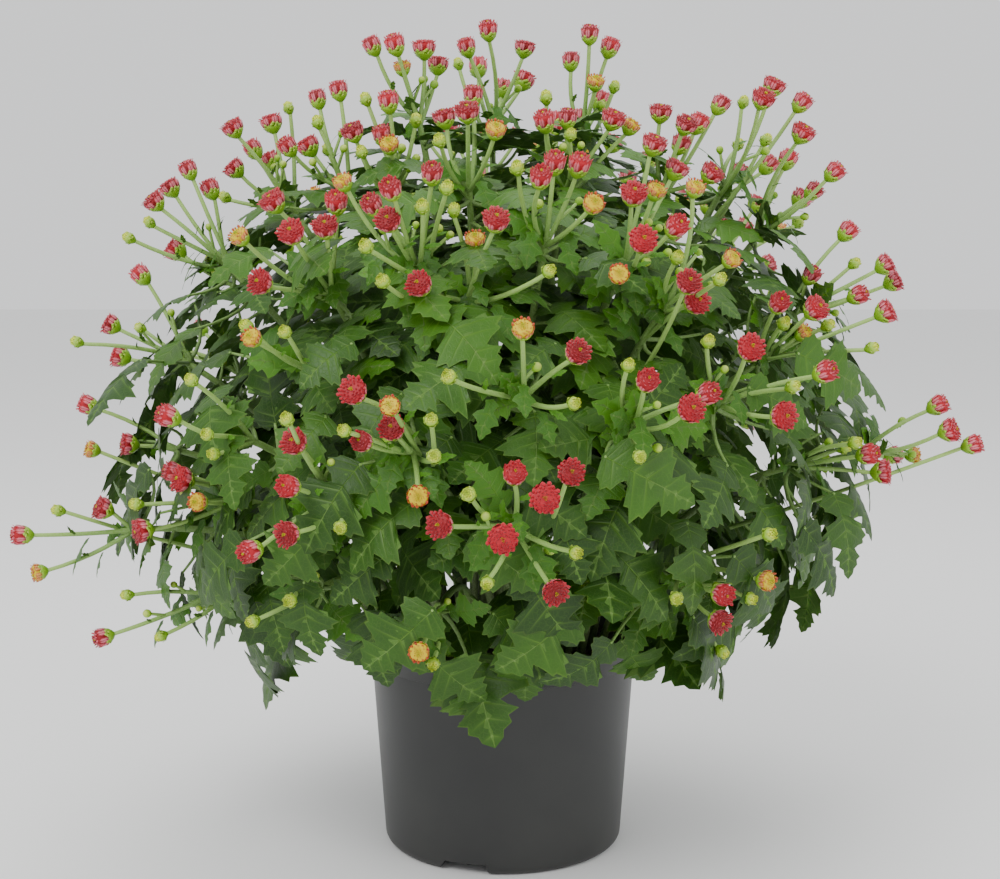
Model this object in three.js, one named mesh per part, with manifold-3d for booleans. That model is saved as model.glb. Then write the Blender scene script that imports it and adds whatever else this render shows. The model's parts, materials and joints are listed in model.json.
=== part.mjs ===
// A potted garden chrysanthemum with many small heads, in millimetres, +Z up.
// The origin is the middle of the circle that the pot stands on, and the front is -Y.
// The plastic pot is a lathe turned shell with a flared lip, a foot ring with drain notches and
// a raised floor. The soil fills it, with a plain hole for each stem. Every leafy stem is one
// body: a main stem, its lobed leaves, and a spray of heads and buds on thin stalks.
import * as THREE from 'three';
import { mergeVertices } from 'three/addons/utils/BufferGeometryUtils.js';
import Module from 'manifold-3d';

const wasm = await Module();
wasm.setup();

// Pot sizes
const POT_HEIGHT = 138;
const LIP_RADIUS = 97.5;
const LIP_THICKNESS = 1.8;
const COLLAR_Z = 118.5;
const COLLAR_RADIUS = 84.5;
const COLLAR_STEP = 1.2;
const BASE_RADIUS = 75.5;
const BASE_ROUNDING = 6;
const WALL = 2.2;
const FOOT_HEIGHT = 7.5;
const FOOT_WIDTH = 4.5;
const FLOOR_THICKNESS = 2.6;
const POT_SIDES = 32;
const NOTCH_COUNT = 3;
const NOTCH_WIDTH = 27;
const NOTCH_HEIGHT = 7;
const NOTCH_SLANT = 5;
const NOTCH_AZIMUTH = -108;
const DRAIN_RADIUS = 5.5;
const DRAIN_CENTRE = 58;

// Soil sizes
const SOIL_TOP = 124;
const SOIL_GAP = 0.3;
const STEM_DEPTH = 26;
const HOLE_GAP = 0.3;
const SOIL_LUMP = 1.6;

// Crown sizes: the heads lie on a dome that is an ellipsoid, flatter below its middle
const DOME_CENTRE = [-5, 0, 265];
const DOME_WIDE = 262;
const DOME_DEEP = 250;
const DOME_HIGH = 245;
const DOME_LOW = 190;
const ROOT_REACH = 64;
const ROOT_SPACING = 10.5;

// Stem and stalk radii
const STEM_ROOT_RADIUS = 2.7;
const STEM_END_RADIUS = 1.9;
const STALK_RADIUS = 1.3;
const STALK_SPLAY = 0.8;
const STALK_BENDS = [0.25, 0.6];
const END_BENDS = [0.4, 0.2, 0.6];
const HEAD_FOLLOW = 1.2;
const STRAIGHT_STALK = 30;
const STEM_SIDES = 3;
// How a stem is drawn: where it stands, how steeply it rises, and how it comes to its heads
const ROOT_SWING = 3.2;
const ROOT_INWARD = [0.1, 0.55];
const HUB_BELOW = 38;
const HUB_MORE = 26;
const HUB_UP = 0.25;
const HUB_TURN = 0.7;
const HUB_PULL = 0.38;
const STEM_UPRIGHT = [0.35, 0.65];
const LEAST_RISE = 78;
const SHOULDER_OUT = 0.13;
const STEM_GAP = 1.2;
const STEM_POT_GAP = 5;
const LIP_CLEAR = 12;
const STEM_TEST_STEP = 6;
const STEM_TRIES = 300;
const STALK_TRIES = 1200;
const STALK_LEVELS = 7;
const STALK_DEEP_LEVELS = 24;
const WHORL_STEP = 7;
const WHORL_HALF = 1.6;
const FRAME_STEPS = 12;
const PLAIN_STRETCH = 50;
const STEM_PART = 99;
// Clearances of a stalk, tested at dots along it; its first and last stretch are left out
const DOT_STEP = 3;
const END_SKIP = 3;
const STALK_GAP = 0.9;
const STALK_LEAST_GAP = 0.5;
const STALK_CAREFUL = 1140;
const STALK_OWN_GAP = 0.5;
const STALK_HOME = 6.5;
const STALK_POT_GAP = 3;
// How far a stalk lifts off its stem and comes to its head in line, at least, as cosines
const LEAST_LIFT = 0.2;
const LEAST_IN_LINE = 0.1;

// Heads: radius, height of the cup below the rim, and height of the face above it
const HEADS = {
  R: { radius: 9.2, cup: 7.5, face: 3.4, petals: 4 },
  P: { radius: 7.8, cup: 8.2, face: 4.2, petals: 4 },
  O: { radius: 7.2, cup: 6.4, face: 2.2, petals: 4 },
  G: { radius: 4.9, cup: 5.2, face: 3.8, petals: 0 },
};
const HEAD_GAP = 1.0;
const HEAD_TRIES = 12;
const HEAD_DEPTH_BIAS = 0.35;
const HEAD_DEPTH_SPREAD = 26;
const HEAD_TRY_STEP = 9;
const HEAD_FACES_UP = 0.7;

// Leaves
const LEAF_LONG = 86;
const LEAF_SHORT = 46;
const LEAF_RIB_THICKNESS = 1.7;
const PETIOLE_SHARE = 0.22;
const PETIOLE_RADIUS = 1.25;
const LEAF_STEP = 57;
const LEAF_FROM = 0.44;
const LEAVES_BELOW_HUB = 8;
const LEAVES_A_WHORL = 2;
const LEAF_BALL = 2.4;
const LEAF_GAP = 4.5;
const LEAF_OWN_GAP = 1;
const LEAF_HOME = 8;
const LEAF_POT_GAP = 4;
const LEAF_LOWEST = 12;
const LEAF_SIZES = [0.86, 1.14];
const LEAF_SHRINK = 0.02;
const LEAF_SWING = 0.8;
const LEAF_SAG = 0.35;
const LEAF_FACES_UP = 0.5;
const LEAF_FORWARD = 0.45;
// How a blade rises from its base, droops towards its tip and hangs at its sides
const LEAF_RISE = 0.16;
const LEAF_DROOP = 0.34;
const LEAF_HANG = 0.5;
const LEAF_TRIES = 32;
const LEAF_TEST_ROWS = 10;
const LEAF_TEST_COLUMNS = 3;
// Right half of the outline: along the rib and out from it, as shares of the blade's length
const LEAF_OUTLINE = [[0.12, 0.27], [0.31, 0.13], [0.55, 0.43], [0.68, 0.17]];
const LEAF_RIB = 0.45;

// Where the photograph was taken from: behind the front of the object, height and downward tilt
const CAMERA_BACK = 1063;
const CAMERA_HEIGHT = 398;
const CAMERA_SIDE = -1.9;
const CAMERA_TILT = 0.1323;
const CAMERA_FOCAL = 1708;
const PHOTO_WIDTH = 1000;
const PHOTO_HEIGHT = 879;

// Sprays that the photograph shows. The first number is how deep the spray stands, from 0 at the
// front of the crown to 1 in its middle and more behind it. Each head is its kind and its place
// in the photograph in pixels: R open red, P half open, O young with a bright eye, G a bud.
const FRONT_SPRAYS = {
  left_low: '0.8 P18,535 O36,573 G56,510 R101,508',
  left_mid: '0.35 R140,531 G134,504 O197,502 R181,479 P170,471',
  left_hang: '0.75 P100,638 G159,637 G125,595',
  left_out: '1.15 P85,404 O89,449 R126,444',
  left_high: '1.3 R109,324 R118,356 G75,341 G139,327 P139,273',
  left_inner: '0.1 P165,415 G190,379 G206,434 G212,454',
  shoulder_left: '1.1 R169,186 R153,200 P187,167 G148,221 P209,186 R174,249 G127,237 G210,259',
  crown_left: '1.35 R232,126 R271,121 P252,147 R233,167 R271,160 G288,106 G223,196',
  crown_left_top: '0.9 P317,96 G317,120 P286,144 R307,144 G327,148 P338,87',
  front_left_high: '0.1 R272,200 R291,232 R325,226 O238,235 R260,282 P336,200',
  top_left: '0.9 P371,43 P394,41 R424,46 R438,63 O402,65',
  top_left_front: '0.5 G365,97 P388,98 R352,130 P382,132 O389,143 G361,150 G416,118',
  top_middle: '1.45 P466,44 G458,62 P488,27 P478,65 R525,46 R524,79 P503,87',
  top_middle_front: '0.25 R444,115 R467,110 P473,92 O496,128 G439,139',
  top_right: '1 P590,31 P611,44 P571,58 O596,80 G615,85 P601,99',
  top_right_front: '0.45 R614,117 O632,124 G546,95 P544,118 P568,115 G571,133',
  front_high: '0.05 P432,171 G447,186 G422,205 R388,220 P390,187 P371,203 O342,180 G365,245',
  front_centre_high: '0.1 R496,219 O475,238 G454,208 G550,270 R419,284 G382,280',
  front_middle_high: '0.1 P541,175 P555,160 G517,166 P580,162 O594,203',
  front_right_high: '0.1 R634,193 R643,240 O657,189 P678,225 R655,142 R678,167 O619,274',
  crown_right_top: '0.65 R661,110 R687,123 P700,120 P682,141 P722,102 R713,172',
  crown_right: '1.2 G744,100 R775,84 R764,97 P804,100 R741,173 G767,138 P770,163 G739,143',
  shoulder_right: '1.35 R804,131 P789,157 P837,170 R802,198 P816,189 G799,222',
  right_inner_high: '0.1 O733,258 G678,256 R689,282 G721,278 R697,301 O696,186',
  right_high: '0.9 P850,229 G856,262 R887,264 R895,281 P861,294 P813,273',
  right_mid: '0.35 R817,308 O806,332 G830,324 R888,311 G874,347 P780,302 G785,322',
  right_inner: '0.1 P828,371 G795,386 R784,416 R751,348 G709,340',
  right_out: '1.1 P941,404 R952,430 P976,444 O916,455 P895,455',
  right_low: '0.6 R885,472 P871,454 G857,442 G846,447',
  front_right: '0 R691,409 P710,393 P648,380 G629,364 G640,457',
  right_hang: '0.15 O768,581 G771,534 P724,595 G752,599 G677,599 R720,622 G724,653',
  front_middle: '0 O523,328 R578,352 G575,403 G448,376',
  front_left: '0 R353,391 G343,430 P361,441 O390,406 R392,428 G431,419 G434,456 O418,496',
  front_centre: '0 R440,525 G468,494 R503,539 P515,473 R545,499 R571,473 G577,553 R555,592 G487,584',
  front_left_low: '0.05 G286,418 R294,442 P287,486 R287,534 P248,552 G340,528',
  front_hang_left: '0.1 G289,601 G251,622',
  front_hang: '0.1 G429,625 G400,643 O419,652 G433,665',
  left_front_high: '0.1 O251,337 G245,325 G284,331',
};
// Sprays that are repeated on the back half, each turned about the pot's axis by its own angle
const BACK_SPRAYS = {
  front_centre: 141, front_left: 203, front_right: 222, front_middle: 122, front_left_low: 178,
  right_hang: 206, right_inner: 166, front_middle_high: 176, front_high: 218,
  front_left_high: 158, right_inner_high: 192, front_right_high: 117, top_left_front: 188,
  top_middle_front: 171, top_right_front: 163, left_front_high: 241, left_inner: 184,
};
const BACK_KEPT = 'RPO';
const BACK_SHIFT = 4.1;

// Colours
const POT_PLASTIC = 0x3c3e41;
const SOIL_BROWN = 0x3a2a1e;
const LEAF_GREEN = 0x3f6b32;

// Small vector helpers on plain arrays
const plus = (a, b) => [a[0] + b[0], a[1] + b[1], a[2] + b[2]];
const minus = (a, b) => [a[0] - b[0], a[1] - b[1], a[2] - b[2]];
const times = (a, k) => [a[0] * k, a[1] * k, a[2] * k];
const dot = (a, b) => a[0] * b[0] + a[1] * b[1] + a[2] * b[2];
const size = (a) => Math.sqrt(dot(a, a));
const unit = (a) => times(a, 1 / Math.max(size(a), 1e-9));
const cross = (a, b) => [
  a[1] * b[2] - a[2] * b[1], a[2] * b[0] - a[0] * b[2], a[0] * b[1] - a[1] * b[0],
];
const toward = (a, b, share) => plus(times(a, 1 - share), times(b, share));
const between = ([low, high], share) => low + (high - low) * share;
const UP = [0, 0, 1];

// A repeatable fraction from 0 to 1 for a set of whole numbers
function chance(...keys) {
  let state = 2166136261;
  for (const key of keys) {
    state = Math.imul(state ^ (key + 374761393), 668265263) >>> 0;
    state = Math.imul(state ^ (state >>> 15), 2246822519) >>> 0;
    state = (state ^ (state >>> 13)) >>> 0;
  }
  return state / 4294967296;
}

// The point where the ray of a pixel meets the dome at depth 0, or is nearest its middle at 1
function domePoint(px, py, depth) {
  const right = (px - PHOTO_WIDTH / 2) / CAMERA_FOCAL;
  const rise = (PHOTO_HEIGHT / 2 - py) / CAMERA_FOCAL;
  const ray = [
    right,
    Math.cos(CAMERA_TILT) + rise * Math.sin(CAMERA_TILT),
    -Math.sin(CAMERA_TILT) + rise * Math.cos(CAMERA_TILT),
  ];
  const eye = [CAMERA_SIDE, -CAMERA_BACK, CAMERA_HEIGHT];
  const meet = (high) => {
    const scale = [DOME_WIDE, DOME_DEEP, high];
    const from = minus(eye, DOME_CENTRE).map((value, i) => value / scale[i]);
    const along = ray.map((value, i) => value / scale[i]);
    const nearest = -dot(from, along) / dot(along, along);
    const apart = plus(from, times(along, nearest));
    const inside = Math.max(0, 1 - dot(apart, apart));
    return plus(eye, times(ray, nearest - ((1 - depth) * Math.sqrt(inside)) / size(along)));
  };
  const upper = meet(DOME_HIGH);
  return { point: upper[2] >= DOME_CENTRE[2] ? upper : meet(DOME_LOW), ray: unit(ray) };
}

// The way the crown faces at a point
const outward = (point) => unit(plus(
  [(point[0] - DOME_CENTRE[0]) / DOME_WIDE, point[1] / DOME_DEEP, 0],
  [0, 0, (point[2] - DOME_CENTRE[2]) / DOME_HIGH],
));

const turned = (point, degrees) => {
  const angle = (degrees * Math.PI) / 180;
  const [cos, sin] = [Math.cos(angle), Math.sin(angle)];
  return [point[0] * cos - point[1] * sin, point[0] * sin + point[1] * cos, point[2]];
};

// Places already taken, as balls with the stem that they belong to and their part of it
const taken = [];
function isClear(points, radius, { owner, gap, ownGap, home, homeReach = 0, part = -1 }) {
  for (const ball of taken) {
    const own = ball.owner === owner;
    const near = ball.part === STEM_PART ? homeReach : homeReach / 2;
    if (own && (ball.part === part || (home && size(minus(ball.at, home)) < near))) continue;
    const reach = ball.radius + radius + (own ? ownGap : gap);
    for (const point of points) {
      const dx = ball.at[0] - point[0];
      const dy = ball.at[1] - point[1];
      const dz = ball.at[2] - point[2];
      if (dx * dx + dy * dy + dz * dz < reach * reach) return false;
    }
  }
  return true;
}
const take = (points, radius, owner, part) => {
  for (const at of points) taken.push({ at, radius, owner, part });
};

const bezier = (p, t) => {
  const s = 1 - t;
  return p.length === 3
    ? plus(plus(times(p[0], s * s), times(p[1], 2 * s * t)), times(p[2], t * t))
    : plus(
      plus(times(p[0], s * s * s), times(p[1], 3 * s * s * t)),
      plus(times(p[2], 3 * s * t * t), times(p[3], t * t * t)),
    );
};
const samples = (curve, step) => {
  const rough = size(minus(curve[curve.length - 1], curve[0]));
  const count = Math.max(3, Math.ceil(rough / step));
  return Array.from({ length: count + 1 }, (_, i) => bezier(curve, i / count));
};
// Points at even steps along a broken line, from a first distance to just short of its end
function dots(line, from, short) {
  const found = [];
  let walked = 0;
  const whole = line.reduce((sum, at, i) => sum + (i ? size(minus(at, line[i - 1])) : 0), 0);
  for (let i = 1; i < line.length; i += 1) {
    const stretch = size(minus(line[i], line[i - 1]));
    const count = Math.max(1, Math.ceil(stretch / DOT_STEP));
    for (let k = 1; k <= count; k += 1) {
      const at = walked + (stretch * k) / count;
      if (at >= from && at <= whole - short) found.push(toward(line[i - 1], line[i], k / count));
    }
    walked += stretch;
  }
  return found;
}
const tangent = (curve, t) => unit(minus(bezier(curve, t + 0.01), bezier(curve, t - 0.01)));

// Every spray of the crown, with its heads seated on the dome and clear of each other
function placeSprays() {
  const wanted = [];
  for (const [name, list] of Object.entries(FRONT_SPRAYS)) wanted.push({ name, list, turn: 0 });
  for (const [name, turn] of Object.entries(BACK_SPRAYS)) {
    wanted.push({ name: `back_${name}`, list: FRONT_SPRAYS[name], turn });
  }
  return wanted.map(({ name, list, turn }, owner) => {
    const heads = [];
    const [depth, ...entries] = list.split(' ');
    for (const entry of entries) {
      const kind = entry[0];
      if (turn && !BACK_KEPT.includes(kind)) continue;
      const [px, py] = entry.slice(1).split(',').map(Number);
      const head = placeHead(owner, kind, px, py, Number(depth), turn, heads.length);
      if (head) heads.push(head);
    }
    const sum = heads.reduce((total, head) => plus(total, head.centre), [0, 0, 0]);
    return { name, owner, heads, middle: times(sum, 1 / heads.length) };
  });
}

// A head on the dome at its place in the photograph, nearer or further off where that is taken
function placeHead(owner, kind, px, py, depth, turn, part) {
  const { point, ray } = domePoint(px, py, depth);
  const { radius } = HEADS[kind];
  for (let attempt = 0; attempt < HEAD_TRIES; attempt += 1) {
    const side = attempt % 2 ? 1 : -1;
    const shift = (chance(px, py, owner) - HEAD_DEPTH_BIAS) * HEAD_DEPTH_SPREAD
      + side * Math.ceil(attempt / 2) * HEAD_TRY_STEP;
    const centre = plus(turned(plus(point, times(ray, shift)), turn), [0, turn ? BACK_SHIFT : 0, 0]);
    if (!isClear([centre], radius, { owner, gap: HEAD_GAP, ownGap: HEAD_GAP })) continue;
    const lean = [chance(px, 1) - 0.5, chance(py, 2) - 0.5, HEAD_FACES_UP];
    take([centre], radius, owner, part);
    return { kind, centre, part, facing: unit(plus(outward(centre), times(lean, 0.5))) };
  }
  return null;
}

// Where the stems stand in the soil
const roots = [];

// The main stem of a spray: out of the soil, over the lip and up to just below the heads
function growStem(spray) {
  const { owner, middle } = spray;
  const facing = outward(middle);
  const wide = Math.hypot(middle[0], middle[1]);
  for (let attempt = 0; attempt < STEM_TRIES; attempt += 1) {
    const spread = attempt / STEM_TRIES;
    const swing = (chance(owner, attempt, 1) - 0.5) * ROOT_SWING * spread;
    const outer = Math.min(1, (wide / DOME_DEEP) ** 0.75 + 0.05);
    const inward = between(ROOT_INWARD, spread) * chance(owner, attempt);
    const reach = ROOT_REACH * outer * (1 - inward);
    const azimuth = Math.atan2(middle[1], middle[0]) + swing;
    const root = [Math.cos(azimuth) * reach, Math.sin(azimuth) * reach, SOIL_TOP - STEM_DEPTH];
    const back = HUB_BELOW + HUB_MORE * spread * chance(owner, attempt, 2);
    const hub = plus(middle, times(unit(plus(facing, times(UP, HUB_UP))), -back));
    const upright = between(STEM_UPRIGHT, chance(owner, attempt, 3));
    const rise = Math.max(LEAST_RISE, (hub[2] - SOIL_TOP) * upright);
    const flat = [hub[0] - root[0], hub[1] - root[1], 0];
    const shoulder = plus(root, plus(times(flat, SHOULDER_OUT), [0, 0, STEM_DEPTH + rise]));
    const chord = unit(minus(hub, shoulder));
    const arrive = unit(plus(times(facing, HUB_TURN), chord));
    const span = size(minus(hub, shoulder));
    const curve = [root, shoulder, minus(hub, times(arrive, span * HUB_PULL)), hub];
    const path = samples(curve, STEM_TEST_STEP);
    const free = isClear(path, STEM_ROOT_RADIUS, { owner, gap: STEM_GAP, ownGap: STEM_GAP })
      && roots.every((other) => Math.hypot(other[0] - root[0], other[1] - root[1]) > ROOT_SPACING)
      && path.every((at) => at[2] < SOIL_TOP || clearOfPot(at, STEM_POT_GAP));
    if (!free && attempt < STEM_TRIES - 1) continue;
    roots.push(root);
    take(path, STEM_ROOT_RADIUS, owner, STEM_PART);
    return curve;
  }
}

// True where a point stands off the pot: above its lip or outside it
const clearOfPot = (at, gap) => {
  const across = Math.hypot(at[0], at[1]);
  const inside = at[2] > SOIL_TOP && across < LIP_RADIUS - LIP_CLEAR;
  return inside || at[2] > POT_HEIGHT + gap || across > LIP_RADIUS + gap;
};

// The frame of a stem at a place along it: its way, and the three sides that face out of it
function stemFrame(curve, t) {
  let aside = [1, 0, 0];
  for (let i = 0; i <= FRAME_STEPS; i += 1) {
    const way = tangent(curve, (t * i) / FRAME_STEPS);
    aside = unit(minus(aside, times(way, dot(aside, way))));
  }
  const way = tangent(curve, t);
  const across = cross(way, aside);
  const sides = Array.from({ length: STEM_SIDES }, (_, k) => {
    const angle = (2 * Math.PI * (k + 0.5)) / STEM_SIDES;
    return plus(times(aside, Math.cos(angle)), times(across, Math.sin(angle)));
  });
  return { at: bezier(curve, t), way, aside, sides };
}

// The stalks of a spray. The first head ends the stem, and the others leave it in whorls of up
// to three, each from the side of the stem that faces its head.
function growStalks(spray) {
  const { owner, stem, heads } = spray;
  const long = size(minus(stem[3], stem[0]));
  const inOrder = heads.slice().sort((a, b) => size(minus(a.centre, stem[3]))
    - size(minus(b.centre, stem[3])));
  const way = tangent(stem, 1);
  const inLine = (head) => dot(unit(minus(head.centre, stem[3])), way);
  const ways = heads.slice().sort((a, b) => inLine(b) - inLine(a))
    .flatMap((head) => END_BENDS.map((bend) => ({ head, stalk: stalkTo(stem[3], way, head, bend) })));
  const straight = ways.find(({ head, stalk }) => bendsGently(stalk, way)
    && isClear(dots(stalk.line, END_SKIP, END_SKIP), STALK_RADIUS, {
      owner, gap: STALK_GAP, ownGap: STALK_OWN_GAP, home: stem[3], homeReach: STALK_HOME,
      part: head.part,
    })) ?? ways[0];
  const terminal = straight.head;
  Object.assign(terminal, straight.stalk);
  take(dots(terminal.line, 0, END_SKIP), STALK_RADIUS, owner, terminal.part);
  spray.terminal = terminal;
  for (const head of inOrder) {
    if (head === terminal) continue;
    growStalk(spray, head, long);
  }
}

function growStalk(spray, head, long) {
  const { owner, stem, whorls } = spray;
  for (let attempt = 0; attempt < STALK_TRIES; attempt += 1) {
    const levels = attempt < STALK_TRIES / 2 ? STALK_LEVELS : STALK_DEEP_LEVELS;
    const level = attempt % levels;
    const t = 1 - (WHORL_STEP * (level + 1)) / long;
    const whorl = whorls[level] ?? { t, frame: stemFrame(stem, t), branches: {} };
    const rank = Math.floor(attempt / levels);
    const aim = unit(minus(head.centre, whorl.frame.at));
    const order = whorl.frame.sides.map((side, k) => [dot(side, aim), k]).sort((a, b) => b[0] - a[0]);
    const [match, k] = order[rank % 3];
    if (whorl.branches[k] || match < 0) continue;
    const side = whorl.frame.sides[k];
    const start = plus(whorl.frame.at, times(side, STEM_END_RADIUS * 0.5));
    const leave = unit(plus(times(side, STALK_SPLAY), whorl.frame.way));
    const bend = between(STALK_BENDS, chance(head.part, attempt, 7));
    const stalk = stalkTo(start, leave, head, bend);
    if (!bendsGently(stalk, side)) continue;
    const points = dots(stalk.line, END_SKIP, END_SKIP);
    const free = points.every((at) => clearOfPot(at, STALK_POT_GAP))
      && isClear(points, STALK_RADIUS, {
        owner, gap: attempt < STALK_CAREFUL ? STALK_GAP : STALK_LEAST_GAP, ownGap: STALK_OWN_GAP,
        home: start, homeReach: STALK_HOME, part: head.part,
      });
    if (!free) continue;
    whorls[level] = whorl;
    whorl.branches[k] = { head };
    Object.assign(head, stalk);
    take(dots(stalk.line, 0, END_SKIP), STALK_RADIUS, owner, head.part);
    return;
  }
}

// True where a stalk lifts well off what it leaves, and comes to its head nearly in line with it
function bendsGently({ line, facing }, off) {
  const first = unit(minus(line[1], line[0]));
  const last = unit(minus(line[line.length - 1], line[line.length - 2]));
  return dot(first, off) > LEAST_LIFT && dot(last, facing) > LEAST_IN_LINE;
}

// A stalk from a start to the base of a head's cup, as a curve and as the line that is built
function stalkTo(start, leave, head, bend) {
  const facing = unit(plus(head.facing, times(unit(minus(head.centre, start)), HEAD_FOLLOW)));
  const base = minus(head.centre, times(facing, HEADS[head.kind].cup));
  const reach = size(minus(base, start));
  const out = plus(start, times(leave, reach * bend));
  const back = minus(base, times(facing, reach * bend));
  const curve = [start, toward(out, back, 0.5), base];
  const line = reach > STRAIGHT_STALK ? [start, bezier(curve, 0.5), base] : [start, base];
  return { facing, curve, line };
}

// The half width of a blade at a place along it, from the outline's straight stretches
function halfWidth(along) {
  const line = [[0, 0.02], ...LEAF_OUTLINE, [1, 0]];
  const next = line.findIndex(([u], i) => i > 0 && u >= along);
  const [[u0, v0], [u1, v1]] = [line[next - 1], line[next]];
  return v0 + ((v1 - v0) * (along - u0)) / (u1 - u0);
}

// The leaves of a stem: pairs at even steps below the spray, shorter towards it
function growLeaves(spray) {
  const { stem } = spray;
  const long = size(minus(stem[3], stem[0]));
  const lowest = Math.min(1, ...spray.whorls.filter(Boolean).map((whorl) => whorl.t));
  const leafTo = lowest - LEAVES_BELOW_HUB / long;
  const levels = Math.max(1, Math.round((long * (leafTo - LEAF_FROM)) / LEAF_STEP));
  for (let level = 0; level < levels; level += 1) {
    const share = (level + 0.5 * chance(spray.owner, level, 5)) / Math.max(1, levels - 0.5);
    const t = LEAF_FROM + (leafTo - LEAF_FROM) * Math.min(share, 1);
    const whorl = { t, frame: stemFrame(stem, t), branches: {} };
    const blade = LEAF_LONG + (LEAF_SHORT - LEAF_LONG) * share ** 1.4;
    for (let order = 0; order < LEAVES_A_WHORL; order += 1) growLeaf(spray, whorl, order, blade);
    if (Object.keys(whorl.branches).length) spray.leafWhorls.push(whorl);
  }
}

// A leaf's frame: where its petiole starts, the way it points, and the way its face looks
function growLeaf(spray, whorl, order, blade) {
  const { owner } = spray;
  const { at, way, sides } = whorl.frame;
  const part = 100 + spray.leafCount;
  for (let attempt = 0; attempt < LEAF_TRIES; attempt += 1) {
    const k = Math.floor(chance(owner, part, attempt) * STEM_SIDES);
    if (whorl.branches[k]) continue;
    const length = blade * between(LEAF_SIZES, chance(part, attempt, 3))
      * (1 - LEAF_SHRINK * attempt);
    const start = plus(at, times(sides[k], STEM_END_RADIUS * 0.5));
    const swing = LEAF_SWING * (chance(part, attempt, 4) - 0.5);
    const radial = plus(sides[k], times(cross(way, sides[k]), swing));
    const face = unit(plus(outward(start), times(UP, LEAF_FACES_UP)));
    const sag = times(UP, -LEAF_SAG * chance(part, attempt, 6));
    const along = unit(plus(plus(radial, times(way, LEAF_FORWARD)), sag));
    if (dot(along, sides[k]) < LEAST_LIFT) continue;
    const up = unit(minus(face, times(along, dot(face, along))));
    const leaf = {
      start, along, up, across: cross(along, up), petiole: length * PETIOLE_SHARE, length,
    };
    const base = leafPoint(leaf, 0, 0);
    const points = [0.25, 0.5, 0.75].map((share) => toward(start, base, share));
    for (let row = 0; row <= LEAF_TEST_ROWS; row += 1) {
      const u = row / LEAF_TEST_ROWS;
      for (let column = -LEAF_TEST_COLUMNS; column <= LEAF_TEST_COLUMNS; column += 1) {
        points.push(leafPoint(leaf, u, (halfWidth(u) * column) / LEAF_TEST_COLUMNS));
      }
    }
    const free = points.every((point) => clearOfPot(point, LEAF_POT_GAP) && point[2] > LEAF_LOWEST)
      && isClear(points, LEAF_BALL, {
        owner, gap: LEAF_GAP, ownGap: LEAF_OWN_GAP, home: start, homeReach: LEAF_HOME,
      });
    if (!free) continue;
    take(points, LEAF_BALL, owner, part);
    whorl.branches[k] = { leaf };
    spray.leafCount += 1;
    return;
  }
}

// A point of a blade: it arches along its rib, and its sides hang a little
function leafPoint(leaf, u, v) {
  const lift = leaf.length * (LEAF_RISE * u - LEAF_DROOP * u * u - LEAF_HANG * v * v);
  const reach = leaf.petiole + leaf.length * u;
  return plus(
    plus(leaf.start, times(leaf.along, reach)),
    plus(times(leaf.across, leaf.length * v), times(leaf.up, lift)),
  );
}

// A ring of points about a centre, each with its own radius and height
function ringAt(centre, way, aside, count, shape) {
  const across = cross(way, aside);
  return Array.from({ length: count }, (_, k) => {
    const angle = (2 * Math.PI * k) / count;
    const [radius, height] = shape(k);
    const flat = plus(times(aside, Math.cos(angle) * radius), times(across, Math.sin(angle) * radius));
    return plus(plus(centre, flat), times(way, height));
  });
}

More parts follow.
